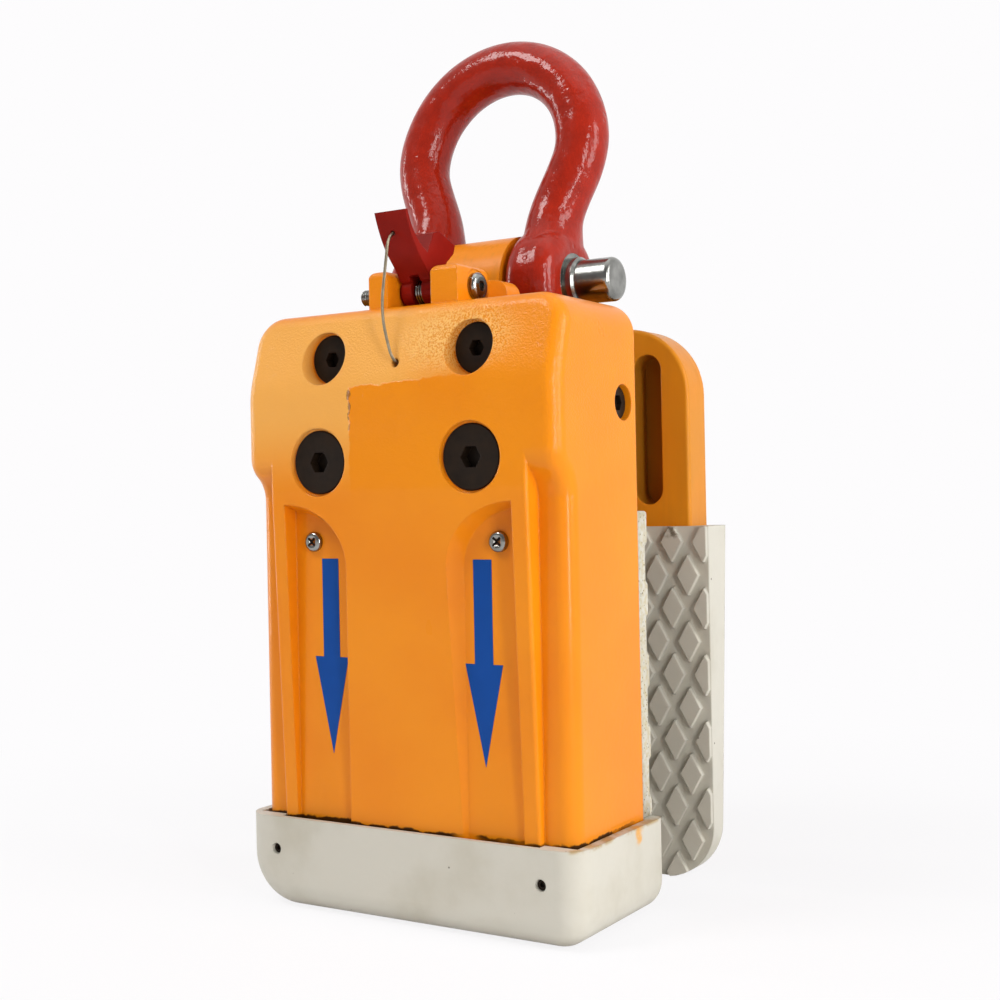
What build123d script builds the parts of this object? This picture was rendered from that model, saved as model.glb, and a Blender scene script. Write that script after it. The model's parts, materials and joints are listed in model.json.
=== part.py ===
"""Slab lifting clamp for stone slabs. Millimetres, +Z up, front jaw towards -Y, X across."""
import math
import os
from itertools import zip_longest

from build123d import *

os.makedirs("parts", exist_ok=True)

# Front casing
HALF_W = 75.0
FRONT_Y = -71.0
BACK_Y = -7.0
CASE_TOP = 245.0
CASE_BOTTOM = 6.0
TILT_Z = 208.5
TILT = 16.0
TILT_R = 36.0
SETBACK_Y = -62.4
CASE_CORNER = 6.5
TOE_R = 19.0
SHELF_TOP = 186.0
SHELF_BOTTOM = 168.0
PANEL_HALF = 61.5
PANEL_LOW_Y = -64.4
RIB_FILLET = 1.6
CHANNEL_FLOOR_Y = -63.5
CHANNEL_IN = 22.5
CHANNEL_OUT = 54.5
CHANNEL_TOP = 167.0
CHANNEL_SPRING = 141.0
CHANNEL_LOW = 34.0
CHANNEL_RAMP = 6.0
CAVITY_HALF = 67.0
CAVITY_FRONT = -57.5
CAVITY_FRONT_HIGH = -54.0
CAVITY_STEP_Z = 212.0
CAVITY_TOP = 235.0
CAVITY_BOTTOM = 20.0
COVER_Y = -11.0
TOP_OPENING_Y = -35.0
TOP_OPENING_HALF = 48.0

# Latch pivot and ears
PIVOT_Y = -44.6
PIVOT_Z = CASE_TOP + 7.0
EAR_FRONT = -58.5
EAR_REAR = -36.0
EAR_TOP = CASE_TOP + 15.0
EAR_FILLET = 3.0
LEFT_EAR = (-18.2, -9.0)
RIGHT_EAR = (12.0, 24.6)
SHOULDER_START = RIGHT_EAR[1] + 6.0
SHOULDER_END = SHOULDER_START + 9.0
SHOULDER_FRONT = EAR_REAR - 10.0
SHOULDER_TOP = CASE_TOP + 8.5
NUB_FRONT = EAR_REAR - 3.2
NUB_TOP = CASE_TOP + 17.0
PIVOT_R = 3.0
BUTTON_R = 5.4
BUTTON_SEAT = RIGHT_EAR[1] - 0.8
BUTTON_TOP = RIGHT_EAR[1] + 2.5
LATCH_HALF = 7.4
FORK_GAP = 2.4

# Screws, each with place, head radius, shank radius and seat plane
UPPER = dict(x=35.0, z=225.5, head=10.0, shank=5.0, cone=5.0, seat=-61.0, end=-46.5, hex=6.0)
LOWER = dict(x=36.5, z=183.5, head=12.9, shank=6.0, cone=6.9, seat=-69.0, end=-46.5, hex=8.0)
RECESS_GAP = 0.9
CROSS = dict(x=44.7, z=151.2)
SIDE = dict(y=-17.6, z=204.5, recess=7.2, head=6.5, seat=HALF_W - 5.0, top=HALF_W - 2.4, end=56.0)
FIT = 0.1

# Boot
BOOT_HALF = 80.0
BOOT_FRONT = -69.5
BOOT_BACK = 1.0
BOOT_TOP = 37.6
BOOT_CORNER_LEFT = 22.0
BOOT_CORNER_RIGHT = 13.0
BOOT_EDGE = 10.5
RIM_GAP = 0.9
RIM_DEPTH = 7.0
BOOT_SCREW = dict(x=BOOT_HALF - 16.7, z=BOOT_TOP - 13.4, recess=2.3, head=2.0, shank=1.25, hex=2.0)

# Pads
PAD_TOP = 161.3
PAD_BASE = 6.2
TREAD = 2.5
DIAMOND_W = 11.6
DIAMOND_H = 19.0
PITCH_X = 15.8
PITCH_Z = 30.7
TREAD_EDGE = 1.5

# Rear jaw
PLATE_FRONT = 52.4
PLATE_BACK = 71.0
PLATE_LOW_BACK = 61.0
PLATE_HALF = 71.2
PLATE_TOP = 242.0
PLATE_CORNER = 30.0
PLATE_FOOT = 22.0
SHOE_HALF = 80.0
SHOE_TOP = 153.8
SHOE_FACE = 51.0
SHOE_WALL = 5.0
SHOE_CORNER = 23.0
SLOT_X = 51.5
SLOT_W = 13.6
SLOT_Z = (163.5, 230.0)
SLOT_DEPTH = 13.0

# Inclined slide: the carriage rises and comes forward
ARM_HALF = 44.0
SLOPE = 30.0
TRAVEL = 44.0
SHOE_LEN = 20.0
SHOE_WIDTH = 12.0
SLIDE_Y = -24.1
SLIDE_Z = 140.0
RAIL_IN = ARM_HALF + 5.0
RAIL_BOTTOM = 112.0
RAIL_TOP = CAVITY_TOP - 1.0
FLANGE_BACK = -46.0
FLANGE_IN = 24.0
FLANGE_OUT = ARM_HALF - 0.6

# Lug and shackle
LUG_Y = 5.8
LUG_Z = 257.4
LUG_R = 22.0
LUG_HALF = 17.8
BUSH_R = 15.5
PIN_R = 12.5
EYE_X = (18.3, 41.6)
EYE_R = 24.0
EYE_ROUND = 8.5
LEG_STRAIGHT = 25.0
BOW_R = 40.7
BOW_H = 61.7
BOW_SECTION = 11.4
LEG_HEIGHTS = (6.0, 13.0, 20.0, 27.0, 34.0, 42.0, 51.0)
BOW_STEPS = 9
LEG_BLEND = 4.0
LEG_FLARE = (11.1, 8.3, 5.0, 2.3, 0.6)
SHACKLE_LEAN = 9.6
HEAD_R = 9.2
HEAD_END = 62.0
COLLAR_R = 10.6

# Latch hook, in Y and Z from its pivot, and wire
HOOK_FRONT = ((-23.8, 29.2), (-20.4, 21.1), (-16.4, 14.8), (-11.0, 9.0), (-7.0, 3.8))
HOOK_FOOT = ((-7.0, 3.8), (0.0, 0.0), (7.8, 2.0), (4.6, 11.6))
HOOK_TAIL = ((4.6, 11.6), (10.0, 16.0), (11.2, 19.6), (0.1, 23.8), (-4.2, 22.6))
HOOK_NOTCH = ((-4.2, 22.6), (-8.6, 14.4))
HOOK_BACK = ((-8.6, 14.4), (-15.6, 19.0), (-22.0, 29.6))
HOOK_CREST = ((-22.0, 29.6), (-23.8, 29.2))
HUB_R = 6.6
FORK_DEPTH = 5.8
EYELET = (-1.0, -20.4, 21.1)
EYELET_R = 1.0
EYELET_TILT = -60.7
WIRE_R = 0.6
WIRE_HOLE = dict(x=1.4, z=221.4, r=1.8)
WIRE_ROUTE = (
    (-1.0, -64.0, 273.6),
    (-1.0, -66.8, 271.9),
    (-1.2, -68.5, 268.6),
    (-1.6, -69.0, 263.4),
    (-2.6, -69.2, 255.6),
    (-3.6, -69.6, 246.4),
    (-2.8, -70.2, 237.4),
    (-0.9, -70.4, 230.2),
    (0.4, -70.5, 225.8),
    (0.9, -69.6, 223.4),
    (1.3, -67.8, 221.7),
    (1.5, -65.3, 221.1),
)

# Inner pieces
BOOT_GAP = 0.3
GROOVE_DEPTH = 12.0
BLOCK_FRONT = -23.5
BLOCK_BOTTOM = 118.0
ARM_BOTTOM = 164.0
ARM_STEP = 186.0
ARM_TOP = 206.0
NECK_FRONT = -5.0
BOLT_X = 26.0
BOLT_Z = (174.0, 196.0)
COVER_SCREW_X = (RAIL_IN + CAVITY_HALF) / 2
COVER_SCREW_Z = (170.0, 227.0)
COVER_SCREW_DEPTH = 12.0

SIDES = {"left": -1, "right": 1}


def box(x, y, z, mode=Mode.ADD):
    """Box between pairs of limits along each axis."""
    centre = ((x[0] + x[1]) / 2, (y[0] + y[1]) / 2, (z[0] + z[1]) / 2)
    with Locations(centre):
        Box(abs(x[1] - x[0]), abs(y[1] - y[0]), abs(z[1] - z[0]), mode=mode)


def span(side, near, far):
    """Pair of X limits on one side of the middle plane."""
    return tuple(sorted((side * near, side * far)))


def rod_y(x, z, r, y0, y1, mode=Mode.ADD):
    """Cylinder along Y."""
    with Locations(Location((x, (y0 + y1) / 2, z), (90, 0, 0))):
        Cylinder(r, abs(y1 - y0), mode=mode)


def rod_x(y, z, r, x0, x1, mode=Mode.ADD):
    """Cylinder along X."""
    with Locations(Location(((x0 + x1) / 2, y, z), (0, 90, 0))):
        Cylinder(r, abs(x1 - x0), mode=mode)


def cone_y(x, z, r0, r1, y0, y1, mode=Mode.ADD):
    """Cone along +Y, radius r0 at y0 and r1 at y1."""
    with Locations(Location((x, (y0 + y1) / 2, z), (-90, 0, 0))):
        Cone(r0, r1, y1 - y0, mode=mode)


def hex_y(x, z, flats, y0, y1, mode=Mode.SUBTRACT):
    """Hexagonal prism along Y, given across the flats."""
    with BuildSketch(Plane.XZ.offset(-y0)) as outline:
        with Locations((x, z)):
            RegularPolygon(flats / math.sqrt(3), 6)
    extrude(outline.sketch, amount=-(y1 - y0), mode=mode)


def side_profile(points, x0, x1, mode=Mode.ADD):
    """Polygon in Y and Z extruded between two X limits."""
    with BuildSketch(Plane.YZ.offset(x0)) as outline:
        with BuildLine():
            Polyline(*points, close=True)
        make_face()
    extrude(outline.sketch, amount=x1 - x0, mode=mode)


def channel_outline(side, inner, top, y):
    """Face of one arrow channel in a plane across Y: a strip with a quarter ellipse on top."""
    width = CHANNEL_OUT - inner
    with BuildSketch(Plane.XZ.offset(-y)) as outline:
        with Locations((side * (inner + width / 2), (CHANNEL_LOW + CHANNEL_SPRING) / 2)):
            Rectangle(width, CHANNEL_SPRING - CHANNEL_LOW)
        with Locations((side * CHANNEL_OUT, CHANNEL_SPRING)):
            Ellipse(width, top - CHANNEL_SPRING)
        with Locations((side * (CHANNEL_OUT + width), CHANNEL_SPRING)):
            Rectangle(2 * width, 2 * CHANNEL_SPRING, mode=Mode.SUBTRACT)
    return outline.sketch.faces()[0]


def diamonds(half, low, high, corner, face, keep):
    """Raised tread diamonds on a face that looks along -Y (keep -1) or +Y (keep 1), cut by its outline."""
    middle = (low + high) / 2
    columns = math.ceil(half / PITCH_X) + 1
    rows = math.ceil((high - low) / PITCH_Z) + 1
    spots = []
    for row in range(-rows, rows + 1):
        shift = PITCH_X / 2 if row % 2 else 0.0
        z = middle + row * PITCH_Z / 2
        for column in range(-columns, columns + 1):
            x = column * PITCH_X + shift
            past_corner = math.hypot(max(0, abs(x) - half + corner), max(0, low + corner - z))
            if abs(x) < half - TREAD_EDGE and low + TREAD_EDGE < z < high - TREAD_EDGE:
                if past_corner < max(corner - TREAD_EDGE, TREAD_EDGE):
                    spots.append((x, z))
    with BuildSketch(Plane.XZ.offset(-face)) as border:
        with Locations((0, middle)):
            Rectangle(2 * half, high - low)
        if corner:
            fillet(border.vertices().group_by(Axis.Y)[0], corner)
    with BuildSketch(Plane.XZ.offset(-face)) as outline:
        with Locations(*spots):
            Polygon((DIAMOND_W / 2, 0), (0, DIAMOND_H / 2), (-DIAMOND_W / 2, 0), (0, -DIAMOND_H / 2))
        add(border.sketch, mode=Mode.INTERSECT)
    extrude(outline.sketch, amount=-keep * TREAD)


def slide_block(side, x0, x1, length, width, centre, mode=Mode.ADD):
    """Bar along the slope between two X limits."""
    with BuildSketch(Plane.YZ.offset(min(side * x0, side * x1))) as outline:
        with Locations(Location((centre[0], centre[1], 0), (0, 0, 90 + SLOPE))):
            RectangleRounded(length, width, 2)
    extrude(outline.sketch, amount=abs(x1 - x0), mode=mode)


def save(name, part):
    """Name one piece and write it out."""
    part.label = name
    export_step(part, f"parts/{name}.step")


# Front casing: outer body with set-back lower corners
tilt = math.radians(TILT)
tilt_foot = (FRONT_Y + TILT_R * (1 - math.cos(tilt)), TILT_Z + TILT_R * math.sin(tilt))
tilt_middle = (FRONT_Y + TILT_R * (1 - math.cos(tilt / 2)), TILT_Z + TILT_R * math.sin(tilt / 2))
tilt_top = (tilt_foot[0] + (CASE_TOP - tilt_foot[1]) * math.tan(tilt), CASE_TOP)
shelf_middle = ((FRONT_Y + SETBACK_Y) / 2, (SHELF_TOP + SHELF_BOTTOM) / 2)
with BuildPart() as front_casing:
    with BuildSketch(Plane.YZ.offset(-HALF_W)):
        with BuildLine():
            Line((SETBACK_Y, CASE_BOTTOM), (BACK_Y, CASE_BOTTOM))
            Line((BACK_Y, CASE_BOTTOM), (BACK_Y, CASE_TOP))
            Line((BACK_Y, CASE_TOP), tilt_top)
            Line(tilt_top, tilt_foot)
            ThreePointArc(tilt_foot, tilt_middle, (FRONT_Y, TILT_Z))
            Line((FRONT_Y, TILT_Z), (FRONT_Y, SHELF_TOP))
            TangentArc((FRONT_Y, SHELF_TOP), shelf_middle, tangent=(0, -1))
            TangentArc((SETBACK_Y, SHELF_BOTTOM), shelf_middle, tangent=(0, 1))
            Line((SETBACK_Y, SHELF_BOTTOM), (SETBACK_Y, CASE_BOTTOM))
        make_face()
    extrude(amount=2 * HALF_W)
    long_edges = front_casing.edges().filter_by(Axis.Y)
    fillet(long_edges.group_by(Axis.Z)[-1], 13)
    fillet(front_casing.edges().filter_by(Axis.Y).group_by(Axis.Z)[0], TOE_R)
    front_edges = [
        edge
        for edge in front_casing.edges()
        if edge.center().Y < SETBACK_Y + 3
        and (abs(edge.center().X) > HALF_W - CASE_CORNER or edge.center().Z > CASE_TOP - 1)
    ]
    fillet(front_edges, CASE_CORNER)

    # Middle panel that slopes back towards the toe
    panel = [
        (SETBACK_Y + 1, CASE_BOTTOM + 2),
        (PANEL_LOW_Y, CASE_BOTTOM + 2),
        (FRONT_Y, SHELF_BOTTOM + 4),
        (FRONT_Y, SHELF_TOP + 4),
        (SETBACK_Y + 1, SHELF_TOP + 4),
    ]
    side_profile(panel, -PANEL_HALF, PANEL_HALF)
    rib_edges = [
        edge
        for edge in front_casing.edges()
        if abs(abs(edge.center().X) - PANEL_HALF) < 0.1
        and edge.center().Y < PANEL_LOW_Y
        and edge.center().Z < SHELF_BOTTOM
        and edge.length > SHELF_BOTTOM / 2
    ]
    fillet(rib_edges, RIB_FILLET)

    # Arrow channels: a ramped inner wall and a sharp outer one
    for side in SIDES.values():
        mouth = channel_outline(side, CHANNEL_IN, CHANNEL_TOP, FRONT_Y - 1)
        floor_top = CHANNEL_TOP - CHANNEL_RAMP / 2
        floor = channel_outline(side, CHANNEL_IN + CHANNEL_RAMP, floor_top, CHANNEL_FLOOR_Y)
        loft([mouth, floor], mode=Mode.SUBTRACT)

    # Ears for the latch, a shoulder beside the right one and a rest for the latch
    for limits in (LEFT_EAR, RIGHT_EAR):
        with BuildSketch(Plane.YZ.offset(limits[0])):
            with Locations(((EAR_FRONT + EAR_REAR) / 2, (EAR_TOP + CASE_TOP - 6) / 2)):
                Rectangle(EAR_REAR - EAR_FRONT, EAR_TOP - CASE_TOP + 6)
        extrude(amount=limits[1] - limits[0])
    ear_tops = [edge for edge in front_casing.edges() if edge.center().Z > EAR_TOP - 0.1]
    fillet(ear_tops, EAR_FILLET)
    box((SHOULDER_START, SHOULDER_END), (SHOULDER_FRONT, EAR_REAR), (CASE_TOP - 4, SHOULDER_TOP))
    shoulder_edges = [
        edge
        for edge in front_casing.edges().filter_by(Axis.Y)
        if edge.center().X > SHOULDER_END - 0.1 and edge.center().Z > SHOULDER_TOP - 0.5
    ]
    fillet(shoulder_edges, 6)
    box((LATCH_HALF + 0.8, RIGHT_EAR[0] + 1), (NUB_FRONT, EAR_REAR), (CASE_TOP - 4, NUB_TOP))

    # Hollow inside, open to the back and through the top
    cavity_x = (-CAVITY_HALF, CAVITY_HALF)
    box(cavity_x, (CAVITY_FRONT, BACK_Y + 5), (CAVITY_BOTTOM, CAVITY_STEP_Z), Mode.SUBTRACT)
    box(cavity_x, (CAVITY_FRONT_HIGH, BACK_Y + 5), (CAVITY_STEP_Z - 1, CAVITY_TOP), Mode.SUBTRACT)
    box(
        (-TOP_OPENING_HALF, TOP_OPENING_HALF),
        (TOP_OPENING_Y, BACK_Y + 5),
        (CAVITY_TOP - 1, CASE_TOP + 30),
        Mode.SUBTRACT,
    )

    # Screw seats and holes
    for screw in (UPPER, LOWER):
        for side in SIDES.values():
            x = side * screw["x"]
            seat = screw["seat"]
            rod_y(x, screw["z"], screw["head"] + RECESS_GAP, -90, seat, Mode.SUBTRACT)
            cone_y(x, screw["z"], screw["head"], screw["shank"], seat, seat + screw["cone"], Mode.SUBTRACT)
            rod_y(x, screw["z"], screw["shank"] + FIT, seat, CAVITY_FRONT_HIGH + 1, Mode.SUBTRACT)
    for side in SIDES.values():
        rod_y(side * CROSS["x"], CROSS["z"], 2.1, -70, CAVITY_FRONT + 1, Mode.SUBTRACT)
        rod_x(SIDE["y"], SIDE["z"], SIDE["recess"], side * (HALF_W + 1), side * SIDE["seat"], Mode.SUBTRACT)
        rod_x(SIDE["y"], SIDE["z"], 5.1, side * HALF_W, side * (CAVITY_HALF - 1), Mode.SUBTRACT)
        rod_y(side * BOOT_SCREW["x"], BOOT_SCREW["z"], BOOT_SCREW["shank"] + FIT, -70, -52, Mode.SUBTRACT)
    rod_y(WIRE_HOLE["x"], WIRE_HOLE["z"], WIRE_HOLE["r"], FRONT_Y - 4, CAVITY_FRONT_HIGH + 1, Mode.SUBTRACT)
    rod_x(PIVOT_Y, PIVOT_Z, PIVOT_R, LEFT_EAR[0] - 1, RIGHT_EAR[1] + 1, Mode.SUBTRACT)
    rod_x(PIVOT_Y, PIVOT_Z, BUTTON_R + 1.4, BUTTON_SEAT, RIGHT_EAR[1] + 1, Mode.SUBTRACT)
save("front_casing", front_casing.part)

# Toe boot: a soft pan round the lower end
with BuildPart() as toe_boot:
    box((-BOOT_HALF, BOOT_HALF), (BOOT_FRONT, BOOT_BACK), (0, BOOT_TOP))
    fillet(toe_boot.edges().filter_by(Axis.Y).group_by(Axis.Z)[0].sort_by(Axis.X)[0], BOOT_CORNER_LEFT)
    fillet(toe_boot.edges().filter_by(Axis.Y).group_by(Axis.Z)[0].sort_by(Axis.X)[-1], BOOT_CORNER_RIGHT)
    fillet(toe_boot.faces().sort_by(Axis.Y)[0].edges().sort_by(Axis.Z)[:-1], BOOT_EDGE)
    fillet(toe_boot.faces().sort_by(Axis.Y)[-1].edges().sort_by(Axis.Z)[:-1], 3)
    pocket_x = (-HALF_W - BOOT_GAP, HALF_W + BOOT_GAP)
    pocket_y = (SETBACK_Y - BOOT_GAP, BACK_Y)
    knee = HALF_W - TOE_R
    box(pocket_x, pocket_y, (CASE_BOTTOM + TOE_R, BOOT_TOP + 1), Mode.SUBTRACT)
    box((-knee, knee), pocket_y, (CASE_BOTTOM, BOOT_TOP), Mode.SUBTRACT)
    for side in SIDES.values():
        rod_y(side * knee, CASE_BOTTOM + TOE_R, TOE_R, *pocket_y, Mode.SUBTRACT)
    side_profile(
        [
            (SETBACK_Y, CASE_BOTTOM + 2),
            (PANEL_LOW_Y, CASE_BOTTOM + 2),
            (PANEL_LOW_Y - 2.8, BOOT_TOP + 1),
            (SETBACK_Y, BOOT_TOP + 1),
        ],
        -PANEL_HALF - BOOT_GAP,
        PANEL_HALF + BOOT_GAP,
        Mode.SUBTRACT,
    )
    rim_x = (-HALF_W - RIM_GAP, HALF_W + RIM_GAP)
    box(rim_x, (SETBACK_Y - RIM_GAP, BACK_Y), (BOOT_TOP - RIM_DEPTH, BOOT_TOP + 1), Mode.SUBTRACT)
    for side in SIDES.values():
        x = side * BOOT_SCREW["x"]
        seat = BOOT_FRONT + 3.4
        rod_y(x, BOOT_SCREW["z"], BOOT_SCREW["recess"], BOOT_FRONT - 1, seat, Mode.SUBTRACT)
        rod_y(x, BOOT_SCREW["z"], BOOT_SCREW["shank"] + FIT, BOOT_FRONT, SETBACK_Y + 1, Mode.SUBTRACT)
save("toe_boot", toe_boot.part)

# Front pad: tread strip on the casing's back
with BuildPart() as front_pad:
    box((-HALF_W, HALF_W), (BACK_Y, BACK_Y + PAD_BASE), (BOOT_TOP + 0.4, PAD_TOP))
    diamonds(HALF_W, BOOT_TOP + 0.4, PAD_TOP, 0, BACK_Y + PAD_BASE, 1)
save("front_pad", front_pad.part)

# Plates that close the casing's back
with BuildPart() as backing_plate:
    box((-CAVITY_HALF, CAVITY_HALF), (COVER_Y, BACK_Y), (CAVITY_BOTTOM, PAD_TOP))
save("backing_plate", backing_plate.part)

for name, side in SIDES.items():
    with BuildPart() as rear_cover:
        box(span(side, RAIL_IN + 0.4, CAVITY_HALF), (COVER_Y, BACK_Y), (PAD_TOP, CAVITY_TOP))
        for z in COVER_SCREW_Z:
            cone_y(side * COVER_SCREW_X, z, 2.5, 5.0, BACK_Y - 2.5, BACK_Y, Mode.SUBTRACT)
            rod_y(side * COVER_SCREW_X, z, 2.5, COVER_Y - 1, BACK_Y - 2, Mode.SUBTRACT)
    save(f"rear_cover_{name}", rear_cover.part)
    for place, z in zip(("low", "high"), COVER_SCREW_Z):
        with BuildPart() as cover_screw:
            cone_y(side * COVER_SCREW_X, z, 2.5, 5.0, BACK_Y - 2.5, BACK_Y)
            rod_y(side * COVER_SCREW_X, z, 2.5, COVER_Y - COVER_SCREW_DEPTH, BACK_Y - 2.5)
            hex_y(side * COVER_SCREW_X, z, 3.0, BACK_Y - 2.0, BACK_Y + 1)
        save(f"cover_screw_{name}_{place}", cover_screw.part)

# Inclined guide rails behind the front wall
rise = math.radians(SLOPE)
forward = (-math.sin(rise), math.cos(rise))
middle = (SLIDE_Y + forward[0] * TRAVEL / 2, SLIDE_Z + forward[1] * TRAVEL / 2)

for name, side in SIDES.items():
    with BuildPart() as guide_rail:
        box(span(side, RAIL_IN, CAVITY_HALF), (CAVITY_FRONT, COVER_Y), (RAIL_BOTTOM, CAVITY_STEP_Z - 1))
        box(span(side, RAIL_IN, CAVITY_HALF), (CAVITY_FRONT_HIGH, COVER_Y), (CAVITY_STEP_Z - 1, RAIL_TOP))
        box(span(side, FLANGE_IN, FLANGE_OUT), (CAVITY_FRONT, FLANGE_BACK), (170, 194))
        box(span(side, FLANGE_IN, RAIL_IN), (CAVITY_FRONT, FLANGE_BACK), (194, CAVITY_STEP_Z - 1))
        box(span(side, FLANGE_IN, RAIL_IN), (CAVITY_FRONT_HIGH, FLANGE_BACK), (CAVITY_STEP_Z - 1, RAIL_TOP))
        groove = (SHOE_LEN + TRAVEL + 0.2, SHOE_WIDTH + 0.2)
        slide_block(side, RAIL_IN - 1, RAIL_IN + GROOVE_DEPTH, *groove, middle, Mode.SUBTRACT)
        for screw in (UPPER, LOWER):
            rod_y(side * screw["x"], screw["z"], screw["shank"], -70, FLANGE_BACK + 1, Mode.SUBTRACT)
        rod_x(SIDE["y"], SIDE["z"], 5, side * (CAVITY_HALF + 1), side * SIDE["end"], Mode.SUBTRACT)
        for z in COVER_SCREW_Z:
            rod_y(side * COVER_SCREW_X, z, 2.5, COVER_Y - COVER_SCREW_DEPTH, COVER_Y + 1, Mode.SUBTRACT)
    save(f"guide_rail_{name}", guide_rail.part)

# Screws through the casing's front
for label, screw in (("upper", UPPER), ("lower", LOWER)):
    for name, side in SIDES.items():
        x = side * screw["x"]
        seat = screw["seat"]
        with BuildPart() as flat_screw:
            rod_y(x, screw["z"], screw["head"], seat - 0.8, seat)
            cone_y(x, screw["z"], screw["head"], screw["shank"], seat, seat + screw["cone"])
            rod_y(x, screw["z"], screw["shank"], seat + screw["cone"], screw["end"])
            hex_y(x, screw["z"], screw["hex"], seat - 1, seat + 4)
            rim = flat_screw.faces().sort_by(Axis.Y)[0].edges().filter_by(GeomType.CIRCLE)
            chamfer(rim, 0.5)
        save(f"{label}_screw_{name}", flat_screw.part)

for name, side in SIDES.items():
    x = side * CROSS["x"]
    with BuildPart() as channel_screw:
        rod_y(x, CROSS["z"], 4.1, CHANNEL_FLOOR_Y - 2.2, CHANNEL_FLOOR_Y)
        fillet(channel_screw.faces().sort_by(Axis.Y)[0].edges(), 1.5)
        rod_y(x, CROSS["z"], 2.0, CHANNEL_FLOOR_Y, CAVITY_FRONT + 5)
        slot_y = (CHANNEL_FLOOR_Y - 3, CHANNEL_FLOOR_Y - 0.8)
        for wide, tall in ((2.3, 0.5), (0.5, 2.3)):
            box((x - wide, x + wide), slot_y, (CROSS["z"] - tall, CROSS["z"] + tall), Mode.SUBTRACT)
    save(f"channel_screw_{name}", channel_screw.part)

    with BuildPart() as bump_stop:
        rod_y(x, CROSS["z"], 4, CAVITY_FRONT, CAVITY_FRONT + 8)
        chamfer(bump_stop.faces().sort_by(Axis.Y)[-1].edges(), 1.5)
        rod_y(x, CROSS["z"], 2.0, CAVITY_FRONT - 1, CAVITY_FRONT + 5, Mode.SUBTRACT)
    save(f"bump_stop_{name}", bump_stop.part)

    with BuildPart() as side_screw:
        rod_x(SIDE["y"], SIDE["z"], SIDE["head"], side * SIDE["seat"], side * SIDE["top"])
        rod_x(SIDE["y"], SIDE["z"], 5, side * SIDE["seat"], side * SIDE["end"])
        with BuildSketch(Plane.YZ.offset(side * SIDE["top"])):
            with Locations((SIDE["y"], SIDE["z"])):
                RegularPolygon(6.0 / math.sqrt(3), 6)
        extrude(amount=-side * 2.2, mode=Mode.SUBTRACT)
    save(f"side_screw_{name}", side_screw.part)

    x = side * BOOT_SCREW["x"]
    with BuildPart() as boot_screw:
        rod_y(x, BOOT_SCREW["z"], BOOT_SCREW["head"], BOOT_FRONT + 1.4, BOOT_FRONT + 3.4)
        rod_y(x, BOOT_SCREW["z"], BOOT_SCREW["shank"], BOOT_FRONT + 3.4, -52)
        hex_y(x, BOOT_SCREW["z"], BOOT_SCREW["hex"], BOOT_FRONT, BOOT_FRONT + 2.6)
    save(f"boot_screw_{name}", boot_screw.part)

# Lifting carriage: inner block, arm over the slab gap, neck and lug
with BuildPart() as lift_carriage:
    box((-ARM_HALF, ARM_HALF), (BLOCK_FRONT, COVER_Y - 0.5), (BLOCK_BOTTOM, 170))
    box((-ARM_HALF, ARM_HALF), (BLOCK_FRONT, PLATE_FRONT), (ARM_BOTTOM, ARM_STEP))
    box((-ARM_HALF, ARM_HALF), (NECK_FRONT, PLATE_FRONT), (ARM_STEP - 1, ARM_TOP))
    fillet(lift_carriage.edges().filter_by(Axis.Y).group_by(Axis.Z)[-1], 6)
    neck = [
        (NECK_FRONT, ARM_TOP - 1),
        (NECK_FRONT, LUG_Z - LUG_R / 2),
        (LUG_Y, LUG_Z),
        (LUG_Y + LUG_R * 0.95, LUG_Z),
        (LUG_Y + LUG_R + 8, ARM_TOP - 1),
    ]
    side_profile(neck, -LUG_HALF, LUG_HALF)
    rod_x(LUG_Y, LUG_Z, LUG_R, -LUG_HALF, LUG_HALF)
    rod_x(LUG_Y, LUG_Z, BUSH_R, -LUG_HALF - 1, LUG_HALF + 1, Mode.SUBTRACT)
    for side in SIDES.values():
        slide_block(side, ARM_HALF, RAIL_IN - 0.5, SHOE_LEN, SHOE_WIDTH, (SLIDE_Y, SLIDE_Z))
        rod_x(SLIDE_Y, SLIDE_Z, 3, side * ARM_HALF, side * RAIL_IN, Mode.SUBTRACT)
        for z in BOLT_Z:
            rod_y(side * BOLT_X, z, 5, PLATE_FRONT - 25, PLATE_FRONT + 1, Mode.SUBTRACT)
save("lift_carriage", lift_carriage.part)

for name, side in SIDES.items():
    with BuildPart() as slide_shoe:
        shoe_end = RAIL_IN + GROOVE_DEPTH - 0.4
        slide_block(side, RAIL_IN - 0.5, shoe_end, SHOE_LEN, SHOE_WIDTH, (SLIDE_Y, SLIDE_Z))
        rod_x(SLIDE_Y, SLIDE_Z, 3, side * (RAIL_IN - 1), side * (RAIL_IN + GROOVE_DEPTH), Mode.SUBTRACT)
    save(f"slide_shoe_{name}", slide_shoe.part)
    with BuildPart() as shoe_pin:
        rod_x(SLIDE_Y, SLIDE_Z, 3, side * ARM_HALF, side * (RAIL_IN + GROOVE_DEPTH - 1))
    save(f"shoe_pin_{name}", shoe_pin.part)
    for place, z in zip(("low", "high"), BOLT_Z):
        with BuildPart() as jaw_bolt:
            rod_y(side * BOLT_X, z, 8, PLATE_BACK - 10.5, PLATE_BACK - 0.5)
            chamfer(jaw_bolt.faces().sort_by(Axis.Y)[-1].edges(), 0.8)
            rod_y(side * BOLT_X, z, 5, PLATE_FRONT - 24, PLATE_BACK - 10.5)
            hex_y(side * BOLT_X, z, 8.0, PLATE_BACK - 5.5, PLATE_BACK)
        save(f"jaw_bolt_{name}_{place}", jaw_bolt.part)

with BuildPart() as lug_bush:
    rod_x(LUG_Y, LUG_Z, BUSH_R, -LUG_HALF, LUG_HALF)
    rod_x(LUG_Y, LUG_Z, PIN_R + 0.05, -LUG_HALF - 1, LUG_HALF + 1, Mode.SUBTRACT)
save("lug_bush", lug_bush.part)

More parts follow.
